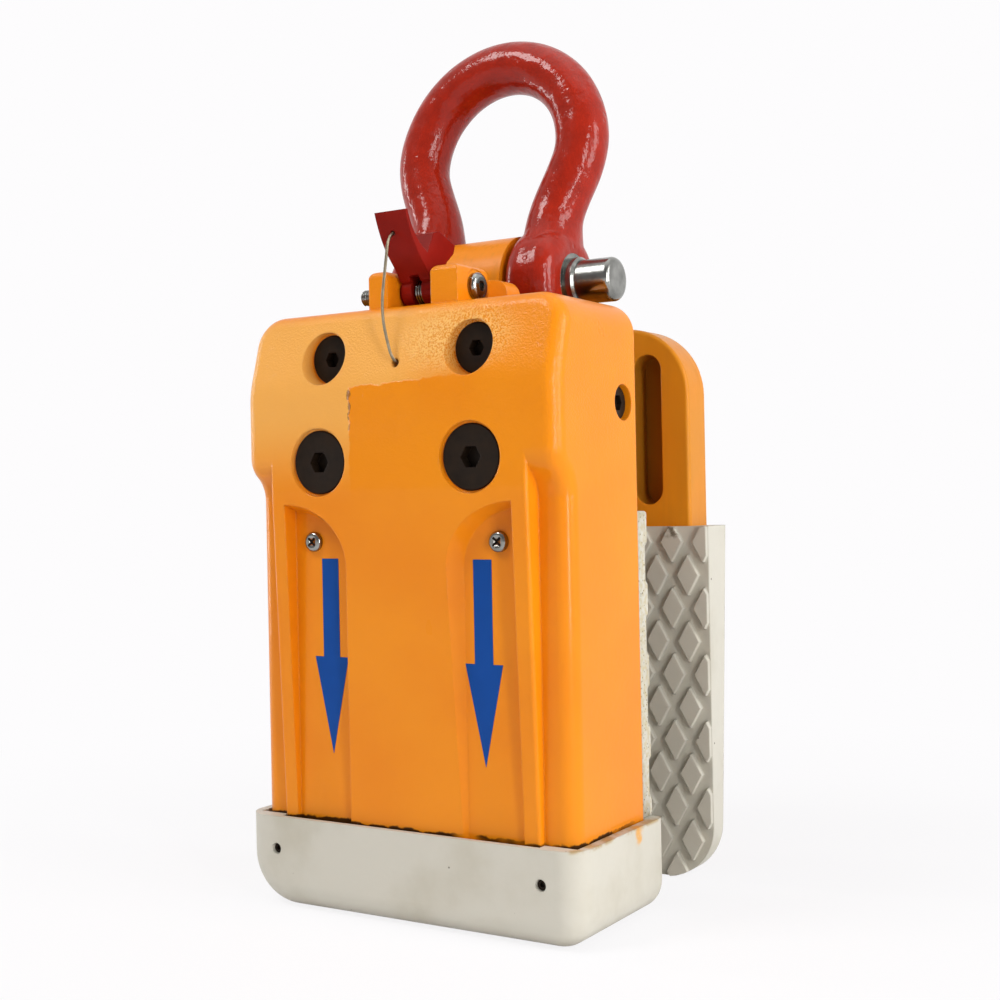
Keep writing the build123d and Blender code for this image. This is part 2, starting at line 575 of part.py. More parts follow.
# Rear jaw plate with two blind pockets
taper = [
    (PLATE_FRONT, SHOE_WALL),
    (PLATE_LOW_BACK, SHOE_WALL),
    (PLATE_BACK, SHOE_TOP),
    (PLATE_BACK, PLATE_TOP),
    (PLATE_FRONT, PLATE_TOP),
]
with BuildPart() as rear_jaw_plate:
    side_profile(taper, -PLATE_HALF, PLATE_HALF)
    fillet(rear_jaw_plate.edges().filter_by(Axis.Y).group_by(Axis.Z)[-1], PLATE_CORNER)
    flanks = [e for e in rear_jaw_plate.edges() if abs(e.center().X) > PLATE_HALF - 0.1]
    fillet([e for e in flanks if e.center().Z < 10], PLATE_FOOT)
    rim = [e for e in rear_jaw_plate.edges() if e.center().Z > SHOE_TOP + 20 and e.length > 5]
    fillet([e for e in rim if abs(e.center().X) > 1 or e.center().Z > PLATE_TOP - 1], 1.6)
    for side in SIDES.values():
        with BuildSketch(Plane.XZ.offset(-PLATE_FRONT)):
            with Locations((side * SLOT_X, sum(SLOT_Z) / 2)):
                SlotOverall(SLOT_Z[1] - SLOT_Z[0], SLOT_W, rotation=90)
        extrude(amount=-SLOT_DEPTH, mode=Mode.SUBTRACT)
        for z in BOLT_Z:
            rod_y(side * BOLT_X, z, 8.4, PLATE_BACK - 10.5, PLATE_BACK + 1, Mode.SUBTRACT)
            rod_y(side * BOLT_X, z, 5, PLATE_FRONT - 1, PLATE_BACK - 5, Mode.SUBTRACT)
save("rear_jaw_plate", rear_jaw_plate.part)

# Rear pad: tread shoe round the plate's lower part
with BuildPart() as rear_pad:
    shoe = [
        (SHOE_FACE, 0),
        (PLATE_LOW_BACK - 1.2, 0),
        (PLATE_BACK - 0.8, SHOE_TOP),
        (SHOE_FACE, SHOE_TOP),
    ]
    side_profile(shoe, -SHOE_HALF, SHOE_HALF)
    flanks = [e for e in rear_pad.edges() if abs(e.center().X) > SHOE_HALF - 0.1]
    fillet([e for e in flanks if e.center().Z < 1], SHOE_CORNER)
    add(rear_jaw_plate.part, mode=Mode.SUBTRACT)
    diamonds(SHOE_HALF, 0, SHOE_TOP, SHOE_CORNER, SHOE_FACE, -1)
save("rear_pad", rear_pad.part)

# Bow shackle, drawn upright about its pin and then leant back
eye_middle = (EYE_X[0] + EYE_X[1]) / 2
lean = Location((0, LUG_Y, LUG_Z), (-SHACKLE_LEAN, 0, 0))


def leg_plane(side, height):
    """Plane square to one leg at a height over the pin: up the left leg and down the right one."""
    share = max(0.0, (height - LEG_STRAIGHT) / (BOW_H - LEG_STRAIGHT))
    reach = BOW_R - eye_middle
    x = eye_middle + reach * share**2 * (3 - 2 * share)
    slope = 6 * reach * share * (1 - share) / (BOW_H - LEG_STRAIGHT)
    return Plane((side * x, 0, height), x_dir=(0, 1, 0), z_dir=(-slope, 0, -side))


def bow_plane(angle):
    """Plane square to the bow at an angle round its middle, from 180 on the left to 0 on the right."""
    turn = math.radians(angle)
    place = (BOW_R * math.cos(turn), 0, BOW_H + BOW_R * math.sin(turn))
    return Plane(place, x_dir=(0, 1, 0), z_dir=(math.sin(turn), 0, -math.cos(turn)))


with BuildPart() as shackle_bow:
    for side in SIDES.values():
        rod_x(0, 0, EYE_R, side * EYE_X[0], side * EYE_X[1])
    for cheek in shackle_bow.faces().filter_by(Axis.X):
        fillet(cheek.edges(), EYE_ROUND)
    leg = list(zip_longest(LEG_HEIGHTS, LEG_FLARE, fillvalue=0.0))
    sections = [(leg_plane(-1, height), flare) for height, flare in leg]
    sections += [(bow_plane(180 - 180 * step / BOW_STEPS), 0.0) for step in range(BOW_STEPS + 1)]
    sections += [(leg_plane(1, height), flare) for height, flare in reversed(leg)]
    for plane, flare in sections:
        with BuildSketch(plane):
            Ellipse(BOW_SECTION + flare, BOW_SECTION)
    loft()
    leg_roots = [
        edge
        for edge in shackle_bow.edges().filter_by(GeomType.BSPLINE)
        if 0 < edge.center().Z < LEG_STRAIGHT
    ]
    fillet(leg_roots, LEG_BLEND)
    rod_x(0, 0, PIN_R, -EYE_X[1] - 1, EYE_X[1] + 1, Mode.SUBTRACT)
save("shackle_bow", lean * shackle_bow.part)

with BuildPart() as shackle_pin:
    rod_x(0, 0, PIN_R, -EYE_X[1] + 1, EYE_X[1])
    rod_x(0, 0, HEAD_R, EYE_X[1], HEAD_END)
    fillet(shackle_pin.faces().sort_by(Axis.X)[-1].edges(), 2.5)
save("shackle_pin", lean * shackle_pin.part)

with BuildPart() as pin_collar:
    rod_x(0, 0, COLLAR_R, EYE_X[1], EYE_X[1] + 4.5)
    chamfer(pin_collar.faces().sort_by(Axis.X)[-1].edges(), 1)
    rod_x(0, 0, HEAD_R, EYE_X[1] - 1, EYE_X[1] + 6, Mode.SUBTRACT)
save("pin_collar", lean * pin_collar.part)

# Latch hook: a forked hub, a tall front arm and a short rear arm
with BuildPart() as latch_hook:
    with BuildSketch(Plane.YZ.offset(-LATCH_HALF)):
        with Locations((PIVOT_Y, PIVOT_Z)):
            with BuildSketch(mode=Mode.PRIVATE) as hook_outline:
                with BuildLine():
                    Spline(*HOOK_FRONT)
                    Polyline(*HOOK_FOOT)
                    Polyline(*HOOK_TAIL)
                    Line(*HOOK_NOTCH)
                    Spline(*HOOK_BACK)
                    Line(*HOOK_CREST)
                make_face()
            add(hook_outline.sketch)
            Circle(HUB_R)
    extrude(amount=2 * LATCH_HALF)
    fork_z = (PIVOT_Z - HUB_R - 1, PIVOT_Z + FORK_DEPTH)
    box((-FORK_GAP, FORK_GAP), (PIVOT_Y - 25, PIVOT_Y + 15), fork_z, Mode.SUBTRACT)
    rod_x(PIVOT_Y, PIVOT_Z, PIVOT_R + 0.05, -LATCH_HALF - 1, LATCH_HALF + 1, Mode.SUBTRACT)
    with Locations(Location((EYELET[0], PIVOT_Y + EYELET[1], PIVOT_Z + EYELET[2]), (EYELET_TILT, 0, 0))):
        Cylinder(EYELET_R, 20, mode=Mode.SUBTRACT)
save("latch_hook", latch_hook.part)

# Latch pivot: button-head screw, nut, spacers, sleeve and torsion spring
with BuildPart() as latch_pin:
    rod_x(PIVOT_Y, PIVOT_Z, PIVOT_R, -30.5, BUTTON_SEAT)
    rod_x(PIVOT_Y, PIVOT_Z, BUTTON_R, BUTTON_SEAT, BUTTON_TOP)
    fillet(latch_pin.faces().sort_by(Axis.X)[-1].edges(), 1.8)
    with BuildSketch(Plane.YZ.offset(BUTTON_TOP)):
        with Locations((PIVOT_Y, PIVOT_Z)):
            RegularPolygon(4.0 / math.sqrt(3), 6)
    extrude(amount=-2.4, mode=Mode.SUBTRACT)
save("latch_pin", latch_pin.part)

with BuildPart() as latch_nut:
    with BuildSketch(Plane.YZ.offset(LEFT_EAR[0])):
        with Locations((PIVOT_Y, PIVOT_Z)):
            RegularPolygon(10.0 / math.sqrt(3), 6)
            Circle(PIVOT_R, mode=Mode.SUBTRACT)
    extrude(amount=-5)
save("latch_nut", latch_nut.part)

with BuildPart() as spacer_left:
    rod_x(PIVOT_Y, PIVOT_Z, 5.2, LEFT_EAR[1], -LATCH_HALF - 0.2)
    rod_x(PIVOT_Y, PIVOT_Z, PIVOT_R, LEFT_EAR[1] - 1, 0, Mode.SUBTRACT)
save("spacer_left", spacer_left.part)

with BuildPart() as spacer_right:
    rod_x(PIVOT_Y, PIVOT_Z, 5.2, LATCH_HALF + 0.2, RIGHT_EAR[0])
    rod_x(PIVOT_Y, PIVOT_Z, PIVOT_R, 0, RIGHT_EAR[0] + 1, Mode.SUBTRACT)
save("spacer_right", spacer_right.part)

with BuildPart() as spring_sleeve:
    rod_x(PIVOT_Y, PIVOT_Z, 4.3, -FORK_GAP + 0.3, FORK_GAP - 0.3)
    rod_x(PIVOT_Y, PIVOT_Z, PIVOT_R, -5, 5, Mode.SUBTRACT)
save("spring_sleeve", spring_sleeve.part)

with BuildPart() as latch_spring:
    with BuildLine() as coil:
        Helix(1.2, 3.0, 4.85, center=(-1.5, PIVOT_Y, PIVOT_Z), direction=(1, 0, 0))
    with BuildSketch(Plane(coil.line @ 0, z_dir=coil.line % 0)):
        RegularPolygon(0.5, 8)
    sweep(path=coil.line, is_frenet=True)
save("latch_spring", latch_spring.part)

# Latch wire: from the tall arm, past the left ear, into the casing's front
route = [Vector(*point) for point in WIRE_ROUTE]
bend_radii = []
for before, here, after in zip(route, route[1:], route[2:]):
    turn = math.radians((here - before).get_angle(after - here))
    shorter = min((here - before).length, (after - here).length)
    bend_radii.append(0.45 * shorter / math.tan(turn / 2))
print("latch wire bend radii", [round(radius, 1) for radius in bend_radii])
with BuildPart() as latch_wire:
    with BuildLine() as run:
        FilletPolyline(*route, radius=bend_radii)
    with BuildSketch(Plane(run.line @ 0, z_dir=run.line % 0)):
        Circle(WIRE_R)
    sweep(path=run.line)
wire_length = sum(edge.length for edge in run.edges())
filled = latch_wire.part.volume / (math.pi * WIRE_R**2 * wire_length)
print(f"latch wire length {wire_length:.1f}, volume over section by length {filled:.4f}")
save("latch_wire", latch_wire.part)
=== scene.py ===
"""Looks of the slab lifting clamp: finishes, arrows, wire, spring, thread, treads, screws and stage."""
import json
import math

import bmesh
import bpy
from bpy.props import FloatProperty, FloatVectorProperty, IntProperty, PointerProperty
from mathutils import Matrix, Vector


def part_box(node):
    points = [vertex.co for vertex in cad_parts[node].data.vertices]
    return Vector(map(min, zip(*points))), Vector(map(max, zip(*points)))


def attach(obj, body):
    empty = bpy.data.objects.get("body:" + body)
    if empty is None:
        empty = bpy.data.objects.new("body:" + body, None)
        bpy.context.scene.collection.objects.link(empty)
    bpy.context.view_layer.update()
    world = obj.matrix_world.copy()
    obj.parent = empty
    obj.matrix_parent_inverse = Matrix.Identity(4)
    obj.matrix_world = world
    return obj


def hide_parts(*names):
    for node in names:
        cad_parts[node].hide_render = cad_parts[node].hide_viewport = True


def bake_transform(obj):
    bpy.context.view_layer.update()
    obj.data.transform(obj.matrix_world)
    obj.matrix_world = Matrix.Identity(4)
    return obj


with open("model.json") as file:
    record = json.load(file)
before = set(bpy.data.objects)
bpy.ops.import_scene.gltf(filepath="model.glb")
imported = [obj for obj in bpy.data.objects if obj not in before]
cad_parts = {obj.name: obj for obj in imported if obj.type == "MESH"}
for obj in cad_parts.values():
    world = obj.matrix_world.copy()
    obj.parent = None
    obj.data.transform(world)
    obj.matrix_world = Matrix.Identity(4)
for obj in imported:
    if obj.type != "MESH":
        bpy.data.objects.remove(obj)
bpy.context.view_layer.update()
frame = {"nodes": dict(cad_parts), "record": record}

bl_info = {
    "name": "Slab Lifting Clamp",
    "version": (1, 0, 0),
    "blender": (4, 5, 0),
    "location": "View3D > Sidebar > Clamp",
    "description": "Finishes and small pieces of a slab lifting clamp, with its stage",
    "category": "Object",
}

MM = 0.001


def linear(code):
    """Linear red, green and blue of an sRGB hex colour."""
    channels = [int(code[i : i + 2], 16) / 255 for i in (1, 3, 5)]
    return tuple(c / 12.92 if c <= 0.04045 else ((c + 0.055) / 1.055) ** 2.4 for c in channels)


def rgba(colour):
    """Colour with full opacity, from a hex code or three linear numbers."""
    return (*(linear(colour) if isinstance(colour, str) else colour), 1.0)


def shaded(colour, shares):
    """Linear colour with its red, green and blue each scaled by a share."""
    return tuple(c * share for c, share in zip(colour, shares))


def per_mm(size):
    """Texture scale at which one pattern step measures that many millimetres on Object coordinates."""
    return 1.0 / (size * MM)


def add_node(tree, kind, inputs=None, **settings):
    """Add one node, set its properties, then set or link its inputs by socket name or index."""
    made = tree.nodes.new(kind)
    for name, value in settings.items():
        setattr(made, name, value)
    for name, value in (inputs or {}).items():
        if isinstance(value, bpy.types.NodeSocket):
            tree.links.new(value, made.inputs[name])
        else:
            made.inputs[name].default_value = value
    return made


def start_material(name, **constants):
    """New material with a Principled shader: its tree, the shader and Object coordinates."""
    material = bpy.data.materials.new(name)
    material.use_nodes = True
    tree = material.node_tree
    tree.nodes.clear()
    shader = add_node(tree, "ShaderNodeBsdfPrincipled")
    for socket, value in constants.items():
        shader.inputs[socket.replace("_", " ")].default_value = value
    add_node(tree, "ShaderNodeOutputMaterial", {"Surface": shader.outputs["BSDF"]})
    place = add_node(tree, "ShaderNodeTexCoord").outputs["Object"]
    return tree, shader, place


class ClampFinish(bpy.types.PropertyGroup):
    """Colours of the clamp's finishes."""

    amber: FloatVectorProperty(
        name="Amber enamel",
        description="Casing, lug and rear plate",
        subtype="COLOR",
        default=linear("#E48710"),
    )
    red: FloatVectorProperty(
        name="Red enamel", description="Bow shackle", subtype="COLOR", default=linear("#9A200C")
    )
    dark_red: FloatVectorProperty(
        name="Dark red enamel", description="Latch hook", subtype="COLOR", default=linear("#86170E")
    )
    pale: FloatVectorProperty(
        name="Polyurethane", description="Toe boot and pads", subtype="COLOR", default=linear("#C4C0B4")
    )
    blue: FloatVectorProperty(
        name="Blue film", description="Down arrows", subtype="COLOR", default=linear("#06408A")
    )


class ClampSizes(bpy.types.PropertyGroup):
    """Sizes of the small pieces that are not in the CAD model."""

    arrow_shaft: FloatProperty(
        name="Arrow shaft", description="Width of the arrow's shaft", unit="LENGTH", default=8.3 * MM
    )
    arrow_head: FloatProperty(
        name="Arrow head", description="Width of the arrow's head", unit="LENGTH", default=17.0 * MM
    )
    wire_strands: IntProperty(
        name="Wire strands", description="Strands twisted round the latch wire", default=6
    )
    wire_pitch: FloatProperty(
        name="Wire lay", description="Length of one turn of the strands", unit="LENGTH", default=7.0 * MM
    )
    spring_wire: FloatProperty(
        name="Spring wire", description="Diameter of the latch spring's wire", unit="LENGTH", default=1.0 * MM
    )
    diamond_width: FloatProperty(
        name="Diamond width", description="Width of a tread diamond", unit="LENGTH", default=10.2 * MM
    )
    diamond_height: FloatProperty(
        name="Diamond height", description="Height of a tread diamond", unit="LENGTH", default=18.2 * MM
    )
    thread_pitch: FloatProperty(
        name="Thread pitch", description="Pitch of the latch stud's thread", unit="LENGTH", default=1.0 * MM
    )


# Finishes

# Share of a soft spot's radii that it fills before it fades
SPOT_CORE = 0.3


def patches(tree, place, size, detail=2.0, soft=(0.0, 1.0), levels=(0.0, 1.0)):
    """Cloudy patches of about a size in millimetres: noise whose soft range runs between two levels."""
    noise = add_node(tree, "ShaderNodeTexNoise", {"Vector": place, "Scale": per_mm(size), "Detail": detail})
    inputs = dict(enumerate((noise.outputs["Fac"], *soft, *levels)))
    return add_node(tree, "ShaderNodeMapRange", inputs, interpolation_type="SMOOTHSTEP").outputs[0]


def dots(tree, place, spacing, rim):
    """Scattered dots about a spacing apart in millimetres. Their inner and outer rims are shares of it."""
    cells = add_node(tree, "ShaderNodeTexVoronoi", {"Vector": place, "Scale": per_mm(spacing)})
    inputs = dict(enumerate((cells.outputs["Distance"], *rim, 1.0, 0.0)))
    return add_node(tree, "ShaderNodeMapRange", inputs, interpolation_type="SMOOTHSTEP").outputs[0]


def soft_spot(tree, place, centre, radii):
    """Mask that is 1 round a place and fades out at its radii, all in millimetres."""
    local = add_node(
        tree,
        "ShaderNodeMapping",
        {"Vector": place, "Location": Vector(centre) * MM, "Scale": Vector(radii) * MM},
        vector_type="TEXTURE",
    )
    reach = add_node(tree, "ShaderNodeVectorMath", {0: local.outputs[0]}, operation="LENGTH")
    inputs = dict(enumerate((reach.outputs["Value"], SPOT_CORE, 1.0, 1.0, 0.0)))
    return add_node(tree, "ShaderNodeMapRange", inputs, interpolation_type="SMOOTHSTEP").outputs[0]


def masked(tree, share, masks):
    """A share that masks limit one after another."""
    for mask in masks:
        share = add_node(tree, "ShaderNodeMath", {0: share, 1: mask}, operation="MULTIPLY").outputs[0]
    return share


def region(tree, *limits):
    """Mask of where values lie within limits. Each row holds a value and, in millimetres, its low and high
    limits and how far they fade to both sides. A limit of None is open."""
    steps = []
    for value, low, high, fade in limits:
        for limit, reach in ((low, fade), (high, -fade)):
            if limit is not None:
                inputs = {0: value, 1: (limit - reach) * MM, 2: (limit + reach) * MM}
                step = add_node(tree, "ShaderNodeMapRange", inputs, interpolation_type="SMOOTHSTEP")
                steps.append(step.outputs[0])
    return masked(tree, 1.0, steps)


def layered(tree, tone, *coats):
    """Colours laid over a tone one after another: rows of a colour, its share and the masks that limit it."""
    for colour, share, *masks in coats:
        inputs = {0: masked(tree, share, masks), 6: tone, 7: rgba(colour)}
        tone = add_node(tree, "ShaderNodeMix", inputs, data_type="RGBA").outputs[2]
    return tone


def finish_surface(tree, shader, tone, roughness, height, strength, depth, edge):
    """Link a tone, a roughness and the bump of a height, and return the bumped normal. The bump's depth and
    the rounding of edges are in millimetres."""
    rounded = add_node(tree, "ShaderNodeBevel", {"Radius": edge * MM}, samples=4)
    bump = add_node(
        tree,
        "ShaderNodeBump",
        {"Strength": strength, "Distance": depth * MM, "Height": height, "Normal": rounded.outputs[0]},
    )
    tree.links.new(tone, shader.inputs["Base Color"])
    tree.links.new(roughness, shader.inputs["Roughness"])
    tree.links.new(bump.outputs[0], shader.inputs["Normal"])
    return bump.outputs[0]


# Sizes of the amber enamel's patterns, in millimetres
CLOUD = 55.0
ORANGE_PEEL = 2.6
SCUFF = 2.4
# Size of the patches of painted shade on the rear plate
PLATE_SHADE_PATCH = 30.0
# How far the scuffs are drawn out upright, and the amber's red, green and blue shares where it is deeper
SCUFF_STRETCH = 0.06
DEEP_AMBER = (0.96, 0.88, 0.7)
# Long pockets of the rear plate, where darker shade is painted in, in millimetres
POCKET_X = (44.0, 59.0)
POCKET_Y = (53.6, 67.0)
POCKET_Z = (162.5, 231.0)


def amber_coat(tree, place, finish):
    """Colour of the sprayed enamel: faint clouds where the coat is thicker."""
    clouds = patches(tree, place, CLOUD, detail=3.0, soft=(0.3, 0.7))
    return layered(tree, rgba(shaded(finish.amber, DEEP_AMBER)), (finish.amber, 1.0, clouds))


def amber_enamel(finish, name, in_shade):
    """Sprayed enamel on machined steel: orange peel and upright scuffs. In shade, as on the rear plate, it
    takes patchy brown painted shade, and darker painted shade in the plate's long pockets."""
    tree, shader, place = start_material(name, Specular_IOR_Level=0.18)
    stretched = {"Vector": place, "Scale": (1.0, 1.0, SCUFF_STRETCH)}
    upright = add_node(tree, "ShaderNodeMapping", stretched).outputs[0]
    coats = [("#C07A1A", 0.35, patches(tree, upright, SCUFF, detail=3.0, soft=(0.5, 0.75)))]
    if in_shade:
        axes = add_node(tree, "ShaderNodeSeparateXYZ", {0: place}).outputs
        width = add_node(tree, "ShaderNodeMath", {0: axes["X"]}, operation="ABSOLUTE").outputs[0]
        shade_patches = patches(tree, place, PLATE_SHADE_PATCH, detail=4.0, soft=(0.2, 0.6), levels=(0.6, 1.0))
        pockets = region(
            tree, (width, *POCKET_X, 0.3), (axes["Y"], *POCKET_Y, 1.5), (axes["Z"], *POCKET_Z, 0.3)
        )
        # On the plate the patchy brown tone is painted shade for the shade between the parts, and the dark
        # brown in the long pockets is painted shade
        coats = [("#B98022", 0.6, shade_patches), *coats, ("#5E3A0E", 0.5, pockets)]
    tone = layered(tree, amber_coat(tree, place, finish), *coats)
    roughness = patches(tree, upright, SCUFF, detail=3.0, soft=(0.5, 0.75), levels=(0.32, 0.45))
    peel = patches(tree, place, ORANGE_PEEL, detail=1.0)
    finish_surface(tree, shader, tone, roughness, peel, strength=0.1, depth=0.4, edge=0.9)


# Marks on the casing's front, in millimetres, with the rise of the thicker coat's edge as a slope
PAINT_EDGE_X = -20.2
PAINT_EDGE_Z = 213.6
PAINT_EDGE_RISE = 0.05
PAINT_EDGE_LOW = 196.0
PAINT_EDGE_END = 14.0
PAINT_EDGE_WOBBLE = 1.5
CHIP_REACH = 0.6
CHIP = 3.0
# Where the chalky field with its painted sheen begins up the front, and where it fades across it
CHALK_SHEEN_Z = 185.0
CHALK_SHEEN_X = 20.0
# Patch of grit, with painted glints on it and painted shade between
GRIT_GLINT_PATCH = ((30.0, -66.0, 230.0), (34.0, 16.0, 18.0))
SAND_GRAIN = 0.8
FRONT_Y = -62.0
BOOT_RIM_Z = 37.6
# Rise above the boot's rim of the black band of grime and painted shade
RIM_SHADE_AND_GRIME = 0.6


def casing_enamel(finish):
    """Sprayed enamel on a sand casting. High on the front it is chalky and rough with grit, paler there as a
    painted sheen, with painted glints on the grit; a thicker coat there ends in a raised, chipped edge, and a
    black band of grime and painted shade lies where the casing enters the boot."""
    tree, shader, place = start_material(
        "amber_enamel_on_sand_casting", Specular_IOR_Level=0.1, Coat_Weight=0.25, Coat_Roughness=0.1
    )
    axes = add_node(tree, "ShaderNodeSeparateXYZ", {0: place}).outputs
    swing = PAINT_EDGE_WOBBLE * MM
    wobble = patches(tree, place, size=5.0, detail=5.0, levels=(-swing, swing))
    across = add_node(tree, "ShaderNodeMath", {0: axes["X"], 1: wobble}).outputs[0]
    ragged = add_node(tree, "ShaderNodeMath", {0: axes["Z"], 1: wobble}).outputs[0]
    level = add_node(
        tree, "ShaderNodeMath", {0: axes["X"], 1: -PAINT_EDGE_RISE, 2: ragged}, operation="MULTIPLY_ADD"
    ).outputs[0]

    # Thicker coat below and right of its edge, the chalky field outside it with a painted sheen that lightens
    # it, and chips along the upright edge
    front = (axes["Y"], None, FRONT_Y, 2.0)
    lower_end = (axes["Z"], PAINT_EDGE_LOW, None, 6.0)
    under_edge = (level, None, PAINT_EDGE_Z, 0.4)
    head = (axes["Z"], CHALK_SHEEN_Z, None, 20.0)
    covered = region(tree, (across, PAINT_EDGE_X, None, 0.4), under_edge)
    step = region(tree, front, lower_end, (axes["X"], None, PAINT_EDGE_END, 12.0))
    bare = add_node(tree, "ShaderNodeMath", {0: 1.0, 1: covered}, operation="SUBTRACT").outputs[0]
    chalk_and_sheen = region(tree, front, head, (axes["X"], None, CHALK_SHEEN_X, 25.0))
    upright_edge = (across, PAINT_EDGE_X - CHIP_REACH, PAINT_EDGE_X + CHIP_REACH, 0.3)
    chip_line = region(tree, front, lower_end, upright_edge, under_edge)
    chips = patches(tree, place, CHIP, detail=4.0, soft=(0.46, 0.54))

    # Grit with painted glints and painted shade between, and a black band of grime and painted shade where
    # the casing enters the boot
    grains_and_glints = patches(tree, place, SAND_GRAIN, soft=(0.4, 0.6))
    shaded_hollows = patches(tree, place, SAND_GRAIN, soft=(0.45, 0.36))
    grit_and_glints = soft_spot(tree, place, *GRIT_GLINT_PATCH)
    rim = region(tree, (ragged, None, BOOT_RIM_Z + RIM_SHADE_AND_GRIME, 0.4))
    runs = patches(tree, place, size=28.0, soft=(0.34, 0.48))

    tone = layered(
        tree,
        amber_coat(tree, place, finish),
        # Chalky field, lightened further by a painted sheen
        ("#E8AA55", 0.8, chalk_and_sheen, bare),
        # Painted glints on the grit, and painted shade in the dips between
        ("#F8CC7A", 0.65, grit_and_glints, bare, grains_and_glints),
        ("#C9811F", 0.3, grit_and_glints, bare, shaded_hollows),
        ("#7E4C18", 0.85, chip_line, chips),
        # Black band where the casing enters the boot: grime, and painted shade in the gap
        ("#1A120A", 0.95, rim, runs),
    )
    relief = patches(tree, place, ORANGE_PEEL, detail=1.0, levels=(0.0, 0.12))
    raised = (
        (0.16, region(tree, head), grains_and_glints),
        (0.5, grit_and_glints, bare, grains_and_glints),
        (1.0, covered, step),
    )
    for height, *masks in raised:
        relief = add_node(tree, "ShaderNodeMath", {0: relief, 1: masked(tree, height, masks)}).outputs[0]
    roughness = patches(tree, place, size=20.0, detail=3.0, levels=(0.25, 0.37))
    skin = finish_surface(tree, shader, tone, roughness, relief, strength=0.7, depth=0.4, edge=0.9)
    tree.links.new(skin, shader.inputs["Coat Normal"])


# Pits in a forging: their spacing in millimetres, and their depth as a share of the lumps' height
PIT_SPACING = 9.0
PIT_DEPTH = 0.35
# Red, green and blue shares of a forging's colour between its lumps
FORGED_DARK = (0.82, 0.82, 0.82)


def forged_enamel(name, colour, lump, strength, coat):
    """Dipped gloss enamel on a forging: runs and lumps under a wet-looking skin, pits here and there."""
    tree, shader, place = start_material(
        name, Coat_Weight=coat, Coat_Roughness=0.04, Specular_IOR_Level=0.05
    )
    lumps = patches(tree, place, lump, detail=4.5)
    pits = dots(tree, place, PIT_SPACING, rim=(0.05, 0.16))
    relief = add_node(
        tree, "ShaderNodeMath", {0: pits, 1: -PIT_DEPTH, 2: lumps}, operation="MULTIPLY_ADD"
    ).outputs[0]
    crowns = patches(tree, place, lump, detail=4.5, soft=(0.25, 0.7))
    tone = layered(tree, rgba(shaded(colour, FORGED_DARK)), (colour, 1.0, crowns))
    roughness = patches(tree, place, lump, detail=4.5, levels=(0.4, 0.32))
    skin = finish_surface(tree, shader, tone, roughness, relief, strength, depth=1.0, edge=0.8)
    tree.links.new(skin, shader.inputs["Coat Normal"])


# Sizes of the polyurethane's patterns, in millimetres
GRIME = 38.0
SWELL = 9.0
SPECK_SPACING = 11.0
# Red, green and blue shares of its colour under grime
DULL_PALE = (0.84, 0.82, 0.77)


def cast_polyurethane(finish, name, *coats_for):
    """Poured off-white polyurethane: waxy and smooth, with handling grime. The coats that a piece adds to
    that come from functions of the node tree and the place."""
    tree, shader, place = start_material(name, IOR=1.5, Specular_IOR_Level=0.35)
    grime = patches(tree, place, GRIME, detail=5.0, soft=(0.44, 0.76))
    coats = [(shaded(finish.pale, DULL_PALE), 1.0, grime)]
    for coat_for in coats_for:
        coats += coat_for(tree, place)
    tone = layered(tree, rgba(finish.pale), *coats)
    roughness = patches(tree, place, GRIME, detail=5.0, soft=(0.2, 0.8), levels=(0.4, 0.6))
    swell = patches(tree, place, SWELL)
    finish_surface(tree, shader, tone, roughness, swell, strength=0.22, depth=0.6, edge=0.7)


# Marks on the toe boot's right rim and foot, in millimetres
PAINT_SMEAR = ((80.0, -21.0, 34.5), (5.0, 5.0, 6.5))
RIM_DIRT_X = 74.0
RIM_DIRT_DEPTH = 0.9
FOOT_BAND_Z = 3.7


def boot_marks(tree, place):
    """The boot's pinholes, dirt along its right rim, a smear of paint there and a darker band along its foot.
    """
    axes = add_node(tree, "ShaderNodeSeparateXYZ", {0: place}).outputs
    patchy = patches(tree, place, size=6.0, detail=4.0, soft=(0.42, 0.6))
    rim_top = (axes["Z"], BOOT_RIM_Z - RIM_DIRT_DEPTH, None, 0.7)
    return [
        ("#6A665C", 1.0, dots(tree, place, SPECK_SPACING, rim=(0.022, 0.05))),
        ("#A98C56", 0.8, region(tree, rim_top, (axes["X"], RIM_DIRT_X, None, 2.0)), patchy),
        ("#D9982E", 0.85, soft_spot(tree, place, *PAINT_SMEAR), patchy),
        ("#8A7D6C", 0.5, region(tree, (axes["Z"], None, FOOT_BAND_Z, 3.2))),
    ]


# Places of the treads' floors along Y and their depth, in millimetres
FRONT_TREAD_FLOOR = -0.8
REAR_TREAD_FLOOR = 51.0
TREAD_DEPTH = 2.5
# Half depths along Y of the dusty painted shade on the floor and of the wear on the tops, and the scuff at
# the rear tread's top edge, in millimetres
FLOOR_SHADE_BAND = 0.75
WEAR_BAND = 0.5
TREAD_SCUFF = ((64.0, 48.5, 151.6), (6.5, 3.0, 4.0))


